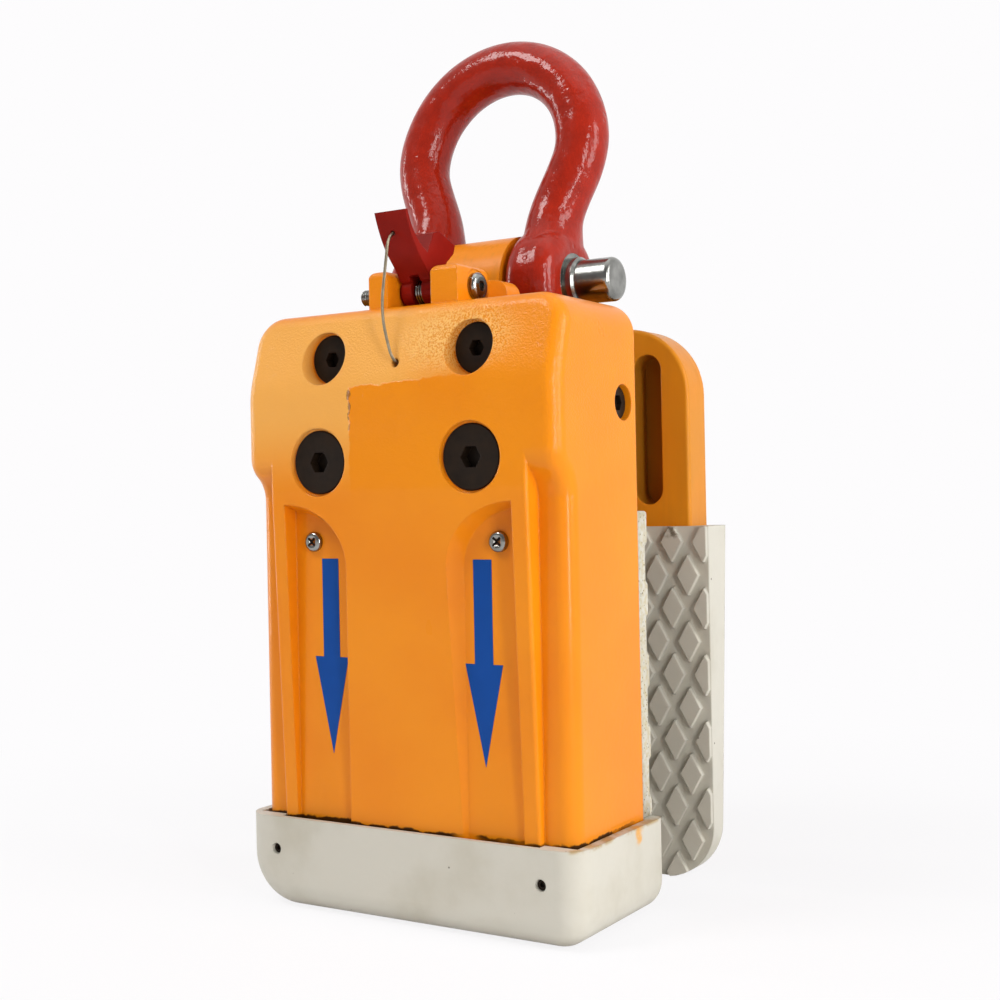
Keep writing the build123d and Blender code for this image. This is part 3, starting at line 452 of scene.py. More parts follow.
def tread_marks(floor_y, top_y):
    """Floor between the diamonds darkened, partly dirty and partly painted shade, and wear on its tops, at
    places along Y in millimetres, grit and a scuff.
    """

    def coats(tree, place):
        axes = add_node(tree, "ShaderNodeSeparateXYZ", {0: place}).outputs
        floor = region(tree, (axes["Y"], floor_y - FLOOR_SHADE_BAND, floor_y + FLOOR_SHADE_BAND, 0.65))
        tops = region(tree, (axes["Y"], top_y - WEAR_BAND, top_y + WEAR_BAND, 0.4))
        dust_and_shade = patches(tree, place, GRIME, detail=5.0, soft=(0.25, 0.6), levels=(0.2, 0.6))
        patchy = patches(tree, place, size=2.0, detail=4.0, soft=(0.36, 0.56))
        return [
            # Darker floor between the diamonds: partly dirt, partly painted shade
            ("#B4AD9E", 1.0, floor, dust_and_shade),
            ("#B8B1A3", 0.9, tops),
            ("#54493A", 1.0, dots(tree, place, SPECK_SPACING, rim=(0.03, 0.06))),
            ("#5E5545", 0.9, soft_spot(tree, place, *TREAD_SCUFF), patchy),
        ]

    return coats


# Place of the front pad's dirty side edges across X, in millimetres
PAD_EDGE_X = 74.5


def edge_grime(tree, place):
    """Shop dirt ground into the front pad's side edges."""
    axes = add_node(tree, "ShaderNodeSeparateXYZ", {0: place}).outputs
    width = add_node(tree, "ShaderNodeMath", {0: axes["X"]}, operation="ABSOLUTE").outputs[0]
    side = region(tree, (width, PAD_EDGE_X, None, 0.4))
    return [
        ("#B7A982", 0.7, side, patches(tree, place, size=2.2, detail=5.0, soft=(0.42, 0.62))),
        ("#7A6A4A", 0.9, side, dots(tree, place, spacing=1.8, rim=(0.12, 0.26))),
    ]


# Finishes of one colour, with their grain in millimetres, drawn coarser than the real one so that it shows
PLAIN_FINISHES = {
    # Bump stops: dull black with hardly a highlight
    "moulded_rubber": dict(code="#141414", rough=0.7, grain=1.0, metallic=0.0, gloss=0.3),
    # Socket screws: brown-black oxide with the low sheen of old oil
    "blackened_steel": dict(code="#261B12", rough=0.42, grain=1.4, metallic=0.0, gloss=0.14),
    # Shackle pin, latch screw, nut and spring: pale grey with soft reflections
    "bright_zinc_plate": dict(code="#A3A39E", rough=0.2, grain=0.7),
    # Backing plate, rails and rear covers: mid-grey with a broad, dull shine
    "machined_steel": dict(code="#77797C", rough=0.36, grain=0.5),
    # Lug bush and slide shoes: warm yellow-brown with a broad shine
    "machined_bronze": dict(code="#A07A42", rough=0.34, grain=0.6),
    # Latch wire: yellowish grey strands, dulled by oil
    "oiled_steel_wire": dict(code="#A0957F", rough=0.36, grain=0.5),
}
# Size of hand and oil marks in millimetres, and the colour's shares and the roughness's factors under them
HAND_MARK = 7.0
HANDLED_DARK = (0.55, 0.55, 0.55)
HANDLED_ROUGH = 1.4
CLEAN_ROUGH = 0.7


def plain_finish(name, code, rough, grain, metallic=1.0, gloss=0.5):
    """Machined, plated or moulded surface: a fine grain, darker and duller where hands and oil have been."""
    tree, shader, place = start_material(name, Metallic=metallic, Specular_IOR_Level=gloss)
    bright = linear(code)
    clean = patches(tree, place, HAND_MARK, detail=4.0, soft=(0.25, 0.75))
    tone = layered(tree, rgba(shaded(bright, HANDLED_DARK)), (bright, 1.0, clean))
    levels = (rough * HANDLED_ROUGH, rough * CLEAN_ROUGH)
    roughness = patches(tree, place, HAND_MARK, detail=4.0, soft=(0.25, 0.75), levels=levels)
    finish_surface(
        tree, shader, tone, roughness, patches(tree, place, grain), strength=0.12, depth=0.1, edge=0.3
    )


# Sizes of the film's patterns in millimetres, and how its blue fades: a factor and a lift
FILM_MOTTLE = 14.0
FILM_RIPPLE = 3.2
FADE_FACTOR = 1.2
FADE_LIFT = 0.002


def printed_film(finish):
    """Blue vinyl film: flat and satin, faintly mottled where it lies over the casting."""
    tree, shader, place = start_material("blue_vinyl_film", Specular_IOR_Level=0.15)
    faded = tuple(c * FADE_FACTOR + FADE_LIFT for c in finish.blue)
    tone = layered(tree, rgba(finish.blue), (faded, 1.0, patches(tree, place, FILM_MOTTLE, detail=3.0)))
    roughness = patches(tree, place, FILM_MOTTLE, detail=3.0, levels=(0.4, 0.5))
    ripple = patches(tree, place, FILM_RIPPLE, detail=1.0)
    finish_surface(tree, shader, tone, roughness, ripple, strength=0.1, depth=0.3, edge=0.1)


# Each slot's finish, and the pieces whose finish differs from their slot's
FINISH_BY_SLOT = {
    "amber_paint": "amber_enamel_on_steel",
    "red_paint": "red_enamel_on_forged_steel",
    "dark_red_paint": "dark_red_enamel",
    "grey_rubber": "boot_polyurethane",
    "black_rubber": "moulded_rubber",
    "black_oxide_steel": "blackened_steel",
    "bright_steel": "bright_zinc_plate",
    "plain_steel": "machined_steel",
    "bronze": "machined_bronze",
}
FINISH_BY_PIECE = {
    "front_casing": "amber_enamel_on_sand_casting",
    "rear_jaw_plate": "amber_enamel_on_plate",
    "spacer_left": "dark_red_enamel",
    "spacer_right": "dark_red_enamel",
    "front_pad": "front_tread_polyurethane",
    "rear_pad": "rear_tread_polyurethane",
}


def finish_named(name):
    """Material of that name. The first call makes them all."""
    if name not in bpy.data.materials:
        finish = bpy.context.scene.clamp_finish
        amber_enamel(finish, "amber_enamel_on_steel", in_shade=False)
        amber_enamel(finish, "amber_enamel_on_plate", in_shade=True)
        casing_enamel(finish)
        forged_enamel("red_enamel_on_forged_steel", finish.red, lump=7.0, strength=0.5, coat=0.45)
        forged_enamel("dark_red_enamel", finish.dark_red, lump=12.0, strength=0.12, coat=0.04)
        cast_polyurethane(finish, "boot_polyurethane", boot_marks)
        front_tread = tread_marks(FRONT_TREAD_FLOOR, FRONT_TREAD_FLOOR + TREAD_DEPTH)
        cast_polyurethane(finish, "front_tread_polyurethane", front_tread, edge_grime)
        rear_tread = tread_marks(REAR_TREAD_FLOOR, REAR_TREAD_FLOOR - TREAD_DEPTH)
        cast_polyurethane(finish, "rear_tread_polyurethane", rear_tread)
        for plain, look in PLAIN_FINISHES.items():
            plain_finish(plain, **look)
        printed_film(finish)
    return bpy.data.materials[name]


# Helpers for pieces

# Distance within which points are merged, and the angle past which an edge stays sharp
MERGE = 0.001 * MM
SHARP_ANGLE = math.radians(35)


def link_object(name, data):
    """New object in the scene that holds that data."""
    made = bpy.data.objects.new(name, data)
    bpy.context.scene.collection.objects.link(made)
    return made


def plain_mesh(source, name):
    """Plain mesh object made from an evaluated object, which is then removed."""
    bpy.context.view_layer.update()
    graph = bpy.context.evaluated_depsgraph_get()
    mesh = bpy.data.meshes.new_from_object(source.evaluated_get(graph))
    mesh.name = name
    bpy.data.objects.remove(source)
    for polygon in mesh.polygons:
        polygon.use_smooth = True
    return link_object(name, mesh)


def merged_copy(node):
    """Copy of a CAD node's loose triangles, merged where they meet."""
    body = bmesh.new()
    body.from_mesh(frame["nodes"][node].data)
    bmesh.ops.remove_doubles(body, verts=body.verts, dist=MERGE)
    return body


def finished_mesh(body, name):
    """Mesh of a bmesh, which is then freed. It is shaded smooth between its sharp edges."""
    mesh = bpy.data.meshes.new(name)
    body.to_mesh(mesh)
    body.free()
    for polygon in mesh.polygons:
        polygon.use_smooth = True
        polygon.material_index = 0
    mesh.set_sharp_from_angle(angle=SHARP_ANGLE)
    return mesh


def new_tree(name, sizes):
    """Geometry Nodes tree with a geometry input, float inputs and a geometry output."""
    tree = bpy.data.node_groups.new(name, "GeometryNodeTree")
    tree.interface.new_socket("Geometry", in_out="INPUT", socket_type="NodeSocketGeometry")
    for label in sizes:
        tree.interface.new_socket(label, in_out="INPUT", socket_type="NodeSocketFloat")
    tree.interface.new_socket("Geometry", in_out="OUTPUT", socket_type="NodeSocketGeometry")
    return tree, add_node(tree, "NodeGroupInput").outputs


def close_tree(tree, geometry, material):
    """End a tree in Realize Instances and Set Material."""
    real = add_node(tree, "GeometryNodeRealizeInstances", {0: geometry})
    painted = add_node(tree, "GeometryNodeSetMaterial", {0: real.outputs[0], "Material": material})
    add_node(tree, "NodeGroupOutput", {0: painted.outputs[0]})


def run_tree(source, tree, sizes, name):
    """Run a tree on an object with its named sizes, and return the plain mesh that comes out."""
    modifier = source.modifiers.new(tree.name, "NODES")
    modifier.node_group = tree
    for item in tree.interface.items_tree:
        if item.item_type == "SOCKET" and item.in_out == "INPUT" and item.name in sizes:
            modifier[item.identifier] = sizes[item.name]
    return plain_mesh(source, name)


# Pieces


class CLAMP_OT_finishes(bpy.types.Operator):
    """Give every CAD piece its finish"""

    bl_idname = "clamp.finishes"
    bl_label = "Finishes"

    def execute(self, context):
        for subpart in frame["record"]["subparts"]:
            by_slot = FINISH_BY_SLOT[subpart["material_slot"]]
            node = frame["nodes"][subpart["node"]]
            node.data.materials.clear()
            node.data.materials.append(finish_named(FINISH_BY_PIECE.get(subpart["node"], by_slot)))
        return {"FINISHED"}


# Arrows: their place across, top, neck and tip, the channel floor that carries them and the film's thickness
ARROW_X = 36.8 * MM
ARROW_TOP = 144.3 * MM
ARROW_NECK = 104.2 * MM
ARROW_TIP = 64.8 * MM
CHANNEL_FLOOR = -63.5 * MM
FILM = 0.15 * MM


class CLAMP_OT_arrows(bpy.types.Operator):
    """Lay the blue down arrows on the channel floors"""

    bl_idname = "clamp.arrows"
    bl_label = "Arrows"

    def execute(self, context):
        sizes = context.scene.clamp_sizes
        film = finish_named("blue_vinyl_film")
        half_shaft = sizes.arrow_shaft / 2
        half_head = sizes.arrow_head / 2
        right_half = ((half_shaft, ARROW_TOP), (half_shaft, ARROW_NECK), (half_head, ARROW_NECK))
        outline = [*right_half, (0.0, ARROW_TIP), *((-x, z) for x, z in reversed(right_half))]
        # Back, front and rim of the film, all facing outwards
        count = len(outline)
        rim = [((i + 1) % count, i, count + i, count + (i + 1) % count) for i in range(count)]
        faces = [tuple(range(count)), tuple(reversed(range(count, 2 * count))), *rim]
        for name, side in (("arrow_left", -1), ("arrow_right", 1)):
            points = [
                (side * ARROW_X + x, y, z)
                for y in (CHANNEL_FLOOR, CHANNEL_FLOOR - FILM)
                for x, z in outline
            ]
            mesh = bpy.data.meshes.new(name)
            mesh.from_pydata(points, [], faces)
            mesh.materials.append(film)
            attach(link_object(name, mesh), "front_jaw")
        return {"FINISHED"}


# The latch wire's route in millimetres, from the latch arm to the hole in the casing's front
WIRE_ROUTE = (
    (-1.0, -64.0, 273.6),
    (-1.0, -66.8, 271.9),
    (-1.2, -68.5, 268.6),
    (-1.6, -69.0, 263.4),
    (-2.6, -69.2, 255.6),
    (-3.6, -69.6, 246.4),
    (-2.8, -70.2, 237.4),
    (-0.9, -70.4, 230.2),
    (0.4, -70.5, 225.8),
    (0.9, -69.6, 223.4),
    (1.3, -67.8, 221.7),
    (1.5, -65.3, 221.1),
)
# The wire's radius, its strands' radius, how far they swell, and the sides of their ring and of each
WIRE_R = 0.6 * MM
STRAND_R = WIRE_R / 3
STRAND_SWELL = 1.06
RING_SIDES = 6
STRAND_SIDES = 8


def wire_tree(material):
    """Strands laid round a line: a ring of circles swept along it with a steady twist."""
    tree, given = new_tree("twisted_wire", ("Strands", "Strand Radius", "Ring Radius", "Turn Length"))
    along = add_node(tree, "GeometryNodeMeshToCurve", {0: given["Geometry"]})
    travelled = add_node(tree, "GeometryNodeSplineParameter").outputs["Length"]
    turns = add_node(tree, "ShaderNodeMath", {0: travelled, 1: given["Turn Length"]}, operation="DIVIDE")
    angle = add_node(tree, "ShaderNodeMath", {0: turns.outputs[0], 1: math.tau}, operation="MULTIPLY")
    twisted = add_node(tree, "GeometryNodeSetCurveTilt", {0: along.outputs[0], "Tilt": angle.outputs[0]})
    ring, strand = (
        add_node(tree, "GeometryNodeCurvePrimitiveCircle", {"Resolution": sides, "Radius": given[radius]})
        for sides, radius in ((RING_SIDES, "Ring Radius"), (STRAND_SIDES, "Strand Radius"))
    )
    spots = add_node(tree, "GeometryNodeCurveToPoints", {0: ring.outputs[0], "Count": given["Strands"]})
    spread = add_node(
        tree, "GeometryNodeInstanceOnPoints", {0: spots.outputs[0], "Instance": strand.outputs[0]}
    )
    profile = add_node(tree, "GeometryNodeRealizeInstances", {0: spread.outputs[0]})
    swept = add_node(
        tree,
        "GeometryNodeCurveToMesh",
        {0: twisted.outputs[0], 1: profile.outputs[0], "Fill Caps": True},
    )
    close_tree(tree, swept.outputs[0], material)
    return tree


class CLAMP_OT_wire(bpy.types.Operator):
    """Lay the twisted latch wire from the latch arm into the casing"""

    bl_idname = "clamp.wire"
    bl_label = "Latch wire"

    def execute(self, context):
        sizes = context.scene.clamp_sizes
        curve = bpy.data.curves.new("latch_wire_line", "CURVE")
        curve.dimensions = "3D"
        curve.resolution_u = 12
        spline = curve.splines.new("NURBS")
        spline.points.add(len(WIRE_ROUTE) - 1)
        for point, spot in zip(spline.points, WIRE_ROUTE):
            point.co = (*(Vector(spot) * MM), 1.0)
        spline.order_u = 3
        spline.use_endpoint_u = True
        line = plain_mesh(link_object("latch_wire_line", curve), "latch_wire_line")
        wanted = {
            "Strands": float(sizes.wire_strands),
            "Strand Radius": STRAND_R * STRAND_SWELL,
            "Ring Radius": WIRE_R - STRAND_R,
            "Turn Length": sizes.wire_pitch,
        }
        wire = run_tree(line, wire_tree(finish_named("oiled_steel_wire")), wanted, "latch_wire_strands")
        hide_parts("latch_wire")
        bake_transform(wire)
        return {"FINISHED"}


# The latch's pivot, which the spring and the stud's thread are wound about
PIVOT = Vector((0.0, -44.6, 252.0)) * MM


def coil_tree(name, material, steps, sides, start):
    """Coil about X, from a start beside the pivot: a spiral of so many steps a turn, swept with a section."""
    tree, given = new_tree(name, ("Radius", "Turns", "Length", "Section"))
    spiral = add_node(
        tree,
        "GeometryNodeCurveSpiral",
        {
            "Resolution": steps,
            "Rotations": given["Turns"],
            "Start Radius": given["Radius"],
            "End Radius": given["Radius"],
            "Height": given["Length"],
        },
    )
    section = add_node(
        tree, "GeometryNodeCurvePrimitiveCircle", {"Resolution": sides, "Radius": given["Section"]}
    )
    swept = add_node(
        tree, "GeometryNodeCurveToMesh", {0: spiral.outputs[0], 1: section.outputs[0], "Fill Caps": True}
    )
    placed = add_node(
        tree,
        "GeometryNodeTransform",
        {
            0: swept.outputs[0],
            "Translation": PIVOT + Vector((start, 0, 0)),
            "Rotation": (0, math.pi / 2, 0),
        },
    )
    close_tree(tree, placed.outputs[0], material)
    return tree


# Latch spring: radius at the middle of its wire, turns, length, steps a turn and sides of its wire
SPRING_R = 4.85 * MM
SPRING_TURNS = 2.5
SPRING_LENGTH = 3.0 * MM
SPRING_STEPS = 40
SPRING_SIDES = 14


class CLAMP_OT_spring(bpy.types.Operator):
    """Wind the latch spring between the fork's discs"""

    bl_idname = "clamp.spring"
    bl_label = "Latch spring"

    def execute(self, context):
        zinc = finish_named("bright_zinc_plate")
        tree = coil_tree("latch_spring", zinc, SPRING_STEPS, SPRING_SIDES, start=-SPRING_LENGTH / 2)
        seed = link_object("latch_spring_seed", bpy.data.meshes.new("latch_spring_seed"))
        wanted = {
            "Radius": SPRING_R,
            "Turns": SPRING_TURNS,
            "Length": SPRING_LENGTH,
            "Section": context.scene.clamp_sizes.spring_wire / 2,
        }
        spring = run_tree(seed, tree, wanted, "latch_spring_coil")
        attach(spring, "front_jaw")
        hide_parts("latch_spring")
        return {"FINISHED"}


# Latch stud: its free end and the nut's face from the pivot, and its radius
STUD_END = -30.3 * MM
NUT_FACE = -23.3 * MM
STUD_R = 3.0 * MM
# Its thread: steps a turn, sides of the crest, and the crest's radius as a share of the pitch
THREAD_STEPS = 24
THREAD_SIDES = 4
CREST_SHARE = 0.3


class CLAMP_OT_thread(bpy.types.Operator):
    """Cut the thread on the latch stud's free end"""

    bl_idname = "clamp.thread"
    bl_label = "Stud thread"

    def execute(self, context):
        pitch = context.scene.clamp_sizes.thread_pitch
        zinc = finish_named("bright_zinc_plate")
        tree = coil_tree("stud_thread", zinc, THREAD_STEPS, THREAD_SIDES, start=STUD_END)
        seed = link_object("stud_thread_seed", bpy.data.meshes.new("stud_thread_seed"))
        wanted = {
            "Radius": STUD_R,
            "Turns": (NUT_FACE - STUD_END) / pitch,
            "Length": NUT_FACE - STUD_END,
            "Section": CREST_SHARE * pitch,
        }
        thread = run_tree(seed, tree, wanted, "stud_thread")
        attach(thread, "front_jaw")
        return {"FINISHED"}


# Each pad's tread: its body and, in millimetres, half width, low and high ends, corner and floor, then the
# side along Y that it looks to
TREADS = {
    "front_pad": dict(
        body="front_jaw", half=75.0, low=38.0, high=161.3, corner=0.0, floor=FRONT_TREAD_FLOOR, look=1
    ),
    "rear_pad": dict(
        body="carriage", half=80.0, low=0.0, high=153.8, corner=23.0, floor=REAR_TREAD_FLOOR, look=-1
    ),
}
# Diamonds in millimetres: wanted pitch across, row spacing, first centres from the side and the high end
TREAD_PITCH = 15.1
TREAD_ROW = 14.45
TREAD_SIDE = 1.7
TREAD_HEAD = 6.9
# Their cut inside the outline, root below the floor and eased edge, and the body's cut below the floor
TREAD_INSET = 0.15
TREAD_ROOT = 0.3
TREAD_EASE = 0.45
TREAD_CUT = 0.02
# Radii of a diamond's top and foot as shares of its size, and the steps of a rounded corner
DIAMOND_TOP = 0.475
DIAMOND_FOOT = 0.5
CORNER_STEPS = 9


def tread_spots(half, low, high):
    """Centres of the diamonds across X and Z: staggered rows, down from the first one below the high end."""
    span = 2 * (half - TREAD_SIDE)
    columns = math.floor(span / TREAD_PITCH)
    pitch = span / (columns + 0.5)
    rows = math.ceil((high - low) / TREAD_ROW)
    return [
        ((1 - 2 * (row % 2)) * (half - TREAD_SIDE - column * pitch), high - TREAD_HEAD - row * TREAD_ROW)
        for row in range(rows)
        for column in range(columns + 1)
    ]


def tread_outline(half, low, high, corner):
    """Lines that bound a tread, each as a point and its outward direction in X and Z."""
    lines = [((0.0, high), (0.0, 1.0))]
    for side in (-1, 1):
        for step in range(CORNER_STEPS + 1):
            angle = math.pi / 2 * step / CORNER_STEPS
            out = (side * math.cos(angle), -math.sin(angle))
            centre = (side * (half - corner), low + corner)
            lines.append(((centre[0] + corner * out[0], centre[1] + corner * out[1]), out))
    return lines


def diamond_tree(material):
    """A four-sided raised diamond on each point, its top a little smaller than its foot."""
    tree, given = new_tree("diamond_tread", ("Width", "Height", "Depth", "Turn"))
    stud = add_node(
        tree,
        "GeometryNodeMeshCone",
        {"Vertices": 4, "Radius Top": DIAMOND_TOP, "Radius Bottom": DIAMOND_FOOT, "Depth": given["Depth"]},
    )
    size = add_node(tree, "ShaderNodeCombineXYZ", {0: given["Width"], 1: given["Height"], 2: 1.0})
    shaped = add_node(tree, "GeometryNodeTransform", {0: stud.outputs["Mesh"], "Scale": size.outputs[0]})
    facing = add_node(tree, "ShaderNodeCombineXYZ", {0: given["Turn"]})
    turned = add_node(tree, "GeometryNodeTransform", {0: shaped.outputs[0], "Rotation": facing.outputs[0]})
    spread = add_node(
        tree, "GeometryNodeInstanceOnPoints", {0: given["Geometry"], "Instance": turned.outputs[0]}
    )
    close_tree(tree, spread.outputs[0], material)
    return tree


def cut_off(body, point, out):
    """Cut away what lies beyond a plane, in metres, and close the cut."""
    geometry = [*body.verts, *body.edges, *body.faces]
    bmesh.ops.bisect_plane(body, geom=geometry, plane_co=point, plane_no=out, clear_outer=True)
    bmesh.ops.holes_fill(body, edges=[e for e in body.edges if e.is_boundary])


class CLAMP_OT_treads(bpy.types.Operator):
    """Lay diamonds over each pad's whole face, cut by its outline"""

    bl_idname = "clamp.treads"
    bl_label = "Treads"

    def execute(self, context):
        sizes = context.scene.clamp_sizes
        for node, tread in TREADS.items():
            material = finish_named(FINISH_BY_PIECE[node])
            floor = tread["floor"] * MM
            root = floor - tread["look"] * TREAD_ROOT * MM
            border = (tread["half"], tread["low"], tread["high"])
            spots = [(x * MM, root, z * MM) for x, z in tread_spots(*border)]
            seed = bpy.data.meshes.new("tread_seed")
            seed.from_pydata(spots, [], [])
            wanted = {
                "Width": sizes.diamond_width,
                "Height": sizes.diamond_height,
                "Depth": (TREAD_DEPTH + TREAD_ROOT) * MM,
                "Turn": -tread["look"] * math.pi / 2,
            }
            studs = run_tree(link_object("tread_seed", seed), diamond_tree(material), wanted, "tread_studs")
            self.trim(studs, border, tread["corner"])
            pad = self.joined(node, floor, tread["look"], studs)
            pad.materials.append(material)
            piece = link_object(f"{node}_tread", pad)
            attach(piece, tread["body"])
            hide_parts(node)
        return {"FINISHED"}

    def trim(self, studs, border, corner):
        """Cut the diamonds by the pad's outline and ease their edges."""
        body = bmesh.new()
        body.from_mesh(studs.data)
        for (x, z), (out_x, out_z) in tread_outline(*border, corner):
            point = Vector((x - TREAD_INSET * out_x, 0.0, z - TREAD_INSET * out_z)) * MM
            cut_off(body, point, (out_x, 0.0, out_z))
        bmesh.ops.recalc_face_normals(body, faces=body.faces)
        body.to_mesh(studs.data)
        body.free()
        eased = studs.modifiers.new("eased_edges", "BEVEL")
        eased.width = TREAD_EASE * MM
        eased.segments = 1

    def joined(self, node, floor, look, studs):
        """The pad's plain body, cut level at its floor, with the diamonds on it."""
        base = merged_copy(node)
        cut_off(base, (0.0, floor - look * TREAD_CUT * MM, 0.0), (0.0, look, 0.0))
        cut = plain_mesh(studs, "tread_cut")
        base.from_mesh(cut.data)
        bpy.data.objects.remove(cut)
        return finished_mesh(base, f"{node}_tread")


# Turn of the channel screws' cross about their axis
CROSS_TURN = math.radians(45)
# Reach of the cross recess from the screw's axis, and its depths below the head's top, in millimetres
RECESS_RADIUS = 2.45
RECESS_DEPTHS = (0.2, 1.6)


class CLAMP_OT_channel_screws(bpy.types.Operator):
    """Turn the channel screws to the photograph's angle and paint shade into their cross recess with the
    black finish
    """

    bl_idname = "clamp.channel_screws"
    bl_label = "Channel screws"

    def execute(self, context):
        for node in ("channel_screw_left", "channel_screw_right"):
            low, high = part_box(node)
            axis = (low + high) / 2
            screw = self.turned(node, axis)
            # The cross recess takes the black finish as painted shade
            for finish in ("bright_zinc_plate", "blackened_steel"):
                screw.materials.append(finish_named(finish))
            for polygon in screw.polygons:
                out = polygon.center - axis
                near = math.hypot(out.x, out.z) < RECESS_RADIUS * MM
                depth = (polygon.center.y - low.y) / MM
                polygon.material_index = int(near and RECESS_DEPTHS[0] < depth < RECESS_DEPTHS[1])
            piece = link_object(f"{node}_turned", screw)
            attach(piece, "front_jaw")
            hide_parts(node)
        return {"FINISHED"}

    def turned(self, node, axis):
        """Copy of the node's mesh, turned about its axis."""
        body = merged_copy(node)
        turn = Matrix.Rotation(CROSS_TURN, 4, "Y")
        move = Matrix.Translation(axis)
        bmesh.ops.transform(body, matrix=move @ turn @ move.inverted(), verts=body.verts)
        return finished_mesh(body, f"{node}_turned")


# Stage

# Camera: its place in metres, its turns, its lens and sensor in millimetres, and its near limit in metres
CAMERA_PLACE = (0.3372, -0.5346, 0.1676)
CAMERA_YAW = math.radians(31.78)
CAMERA_PITCH = math.radians(-0.07)
CAMERA_ROLL = math.radians(-1.14)
CAMERA_LENS = 52.63
SENSOR = 36.0
CLIP_START = 0.01
# Lamps: places and sizes in metres and powers in watts, all turned to one point of the clamp
LAMPS = {
    "right_softbox": dict(place=(1.25, 0.0, 0.6), size=(0.45, 0.9), power=9.8),
    "right_strip": dict(place=(1.15, -0.68, 0.3), size=(0.2, 1.0), power=9.0),
    "left_strip": dict(place=(-1.28, -0.23, 0.35), size=(0.12, 1.0), power=5.2),
    "front_softbox": dict(place=(-0.55, -0.76, 1.4), size=(0.5, 0.5), power=11.2),
    "top_softbox": dict(place=(0.2, -0.1, 1.5), size=(1.1, 1.1), power=2.5),
}
AIM = Vector((0.0, 0.0, 0.18))
# Floor: its reach, and the distances in metres between which its white rises from one share to the other
FLOOR_REACH = 30.0
WHITE_REACH = (0.12, 0.5)
WHITE_SHARES = (0.86, 1.0)
# Surround: its white, its soft light, and what reflections see between two headings, front to back
BACKDROP = "#FDFCFD"
SOFT_LIGHT = 0.3
STUDIO_HEADINGS = (-0.5, 0.1)
STUDIO_LEVELS = (0.3, 1.0)
MIRROR_RAYS = ("Is Glossy Ray", "Is Transmission Ray")


def seen_by(tree, *kinds):
    """Mask of what rays of those kinds see."""
    rays = add_node(tree, "ShaderNodeLightPath").outputs
    seen = rays[kinds[0]]
    for kind in kinds[1:]:
        seen = add_node(tree, "ShaderNodeMath", {0: seen, 1: rays[kind]}, operation="MAXIMUM").outputs[0]
    return seen


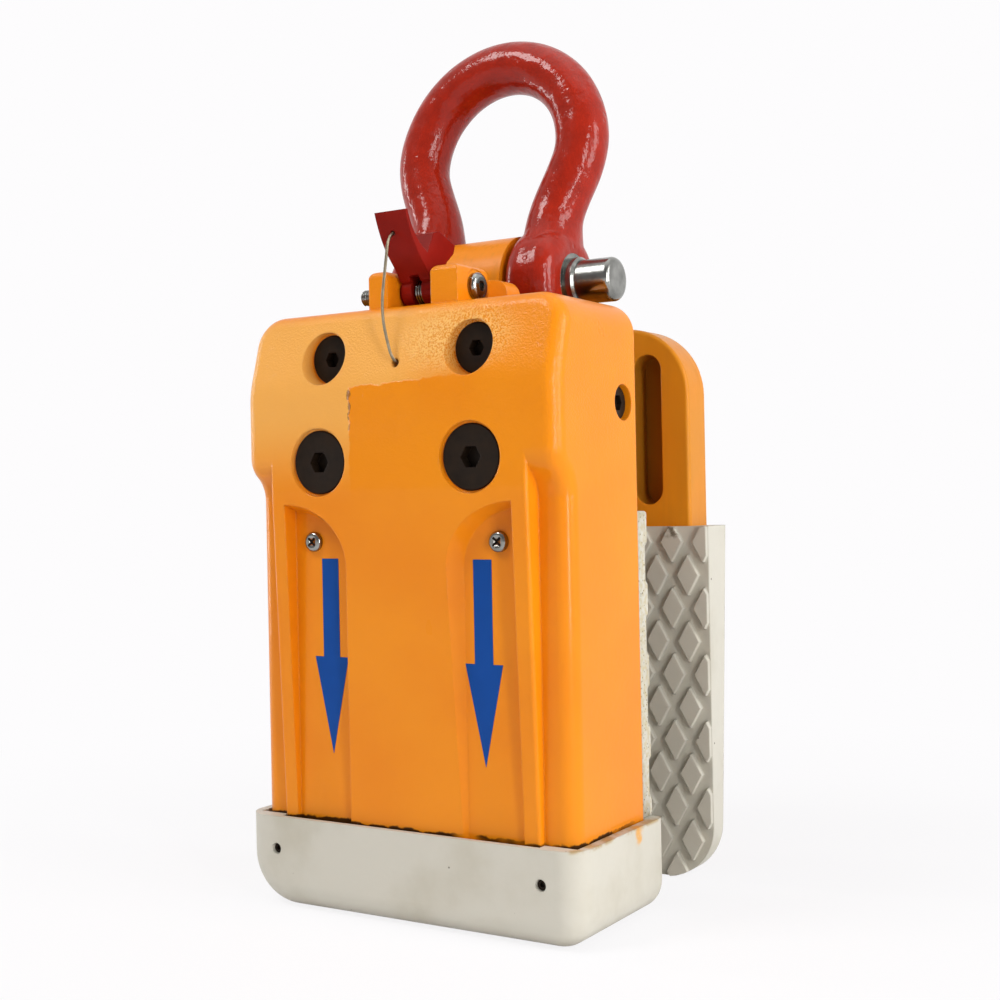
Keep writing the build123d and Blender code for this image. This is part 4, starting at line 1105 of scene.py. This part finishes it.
class CLAMP_OT_stage(bpy.types.Operator):
    """Set the floor, lamps, world and camera"""

    bl_idname = "clamp.stage"
    bl_label = "Stage"

    def execute(self, context):
        scene = context.scene
        scene.view_settings.view_transform = "Standard"
        self.floor()
        self.lamps()
        self.world(scene)
        self.camera(scene)
        return {"FINISHED"}

    def floor(self):
        """Wide pale floor that keeps the object's shadow."""
        name = "pale_floor"
        tree, shader, place = start_material(
            name, Base_Color=rgba("#F4F4F4"), Roughness=0.9, Specular_IOR_Level=0.0
        )
        glow = add_node(tree, "ShaderNodeEmission", {"Color": rgba(BACKDROP), "Strength": 1.0})
        seen = seen_by(tree, "Is Camera Ray", *MIRROR_RAYS)
        distance = add_node(tree, "ShaderNodeVectorMath", {0: place}, operation="LENGTH")
        inputs = dict(enumerate((distance.outputs["Value"], *WHITE_REACH, *WHITE_SHARES)))
        share = add_node(tree, "ShaderNodeMapRange", inputs, interpolation_type="SMOOTHSTEP")
        blend = add_node(
            tree,
            "ShaderNodeMixShader",
            {0: masked(tree, seen, [share.outputs[0]]), 1: shader.outputs[0], 2: glow.outputs[0]},
        )
        output = next(n for n in tree.nodes if n.bl_idname == "ShaderNodeOutputMaterial")
        tree.links.new(blend.outputs[0], output.inputs["Surface"])
        mesh = bpy.data.meshes.new("floor")
        corners = [(x * FLOOR_REACH, y * FLOOR_REACH, 0) for x, y in ((-1, -1), (1, -1), (1, 1), (-1, 1))]
        mesh.from_pydata(corners, [], [(0, 1, 2, 3)])
        mesh.materials.append(bpy.data.materials[name])
        link_object("floor", mesh)

    def lamps(self):
        """Soft boxes and strips, each turned to the clamp."""
        for name, lamp in LAMPS.items():
            data = bpy.data.lights.new(name, "AREA")
            data.shape = "RECTANGLE"
            data.size, data.size_y = lamp["size"]
            data.energy = lamp["power"]
            made = link_object(name, data)
            made.location = lamp["place"]
            made.rotation_euler = (AIM - Vector(lamp["place"])).to_track_quat("-Z", "Y").to_euler()

    def world(self, scene):
        """White surround for the camera. Reflections see it white behind and darker in front of the clamp,
        as in a studio, and it lights the clamp softly."""
        world = bpy.data.worlds.new("surround")
        world.use_nodes = True
        tree = world.node_tree
        tree.nodes.clear()
        direction = add_node(tree, "ShaderNodeTexCoord").outputs["Generated"]
        heading = add_node(tree, "ShaderNodeSeparateXYZ", {0: direction})
        inputs = dict(enumerate((heading.outputs["Y"], *STUDIO_HEADINGS, *STUDIO_LEVELS)))
        studio = add_node(tree, "ShaderNodeMapRange", inputs).outputs[0]
        soft = add_node(tree, "ShaderNodeBackground", {"Color": rgba("#FFFFFF"), "Strength": SOFT_LIGHT})
        front_to_back = add_node(tree, "ShaderNodeBackground", {"Color": rgba(BACKDROP), "Strength": studio})
        white = add_node(tree, "ShaderNodeBackground", {"Color": rgba(BACKDROP), "Strength": 1.0})
        lit = add_node(
            tree,
            "ShaderNodeMixShader",
            {0: seen_by(tree, *MIRROR_RAYS), 1: soft.outputs[0], 2: front_to_back.outputs[0]},
        )
        shown = add_node(
            tree,
            "ShaderNodeMixShader",
            {0: seen_by(tree, "Is Camera Ray"), 1: lit.outputs[0], 2: white.outputs[0]},
        )
        add_node(tree, "ShaderNodeOutputWorld", {"Surface": shown.outputs[0]})
        scene.world = world

    def camera(self, scene):
        """Camera at the photograph's place and angle."""
        data = bpy.data.cameras.new("photo_camera")
        data.sensor_fit = "HORIZONTAL"
        data.sensor_width = SENSOR
        data.lens = CAMERA_LENS
        data.clip_start = CLIP_START
        made = link_object("photo_camera", data)
        level = Vector((math.cos(CAMERA_YAW), math.sin(CAMERA_YAW), 0.0))
        forward = Vector((-math.sin(CAMERA_YAW), math.cos(CAMERA_YAW), 0.0)) * math.cos(CAMERA_PITCH)
        forward.z = math.sin(CAMERA_PITCH)
        upright = level.cross(forward)
        right = level * math.cos(CAMERA_ROLL) + upright * math.sin(CAMERA_ROLL)
        up = right.cross(forward)
        turn = Matrix((right, up, -forward)).transposed().to_4x4()
        made.matrix_world = Matrix.Translation(CAMERA_PLACE) @ turn
        scene.camera = made


class CLAMP_PT_panel(bpy.types.Panel):
    """Lists the clamp's pieces and sizes"""

    bl_idname = "CLAMP_PT_panel"
    bl_label = "Slab Lifting Clamp"
    bl_space_type = "VIEW_3D"
    bl_region_type = "UI"
    bl_category = "Clamp"

    def draw(self, context):
        for group in (context.scene.clamp_finish, context.scene.clamp_sizes):
            for name in group.__annotations__:
                self.layout.prop(group, name)
        for operator in OPERATORS:
            self.layout.operator(operator.bl_idname)


OPERATORS = (
    CLAMP_OT_stage,
    CLAMP_OT_wire,
    CLAMP_OT_finishes,
    CLAMP_OT_arrows,
    CLAMP_OT_spring,
    CLAMP_OT_thread,
    CLAMP_OT_treads,
    CLAMP_OT_channel_screws,
)
CLASSES = (ClampFinish, ClampSizes, *OPERATORS, CLAMP_PT_panel)


def register():
    """Register the classes and the scene's settings."""
    for item in CLASSES:
        bpy.utils.register_class(item)
    bpy.types.Scene.clamp_finish = PointerProperty(type=ClampFinish)
    bpy.types.Scene.clamp_sizes = PointerProperty(type=ClampSizes)


def unregister():
    """Remove the scene's settings and the classes."""
    del bpy.types.Scene.clamp_sizes
    del bpy.types.Scene.clamp_finish
    for item in reversed(CLASSES):
        bpy.utils.unregister_class(item)


def main():
    """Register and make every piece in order."""
    register()
    for operator in OPERATORS:
        group, name = operator.bl_idname.split(".")
        getattr(getattr(bpy.ops, group), name)()


if __name__ == "__main__":
    main()
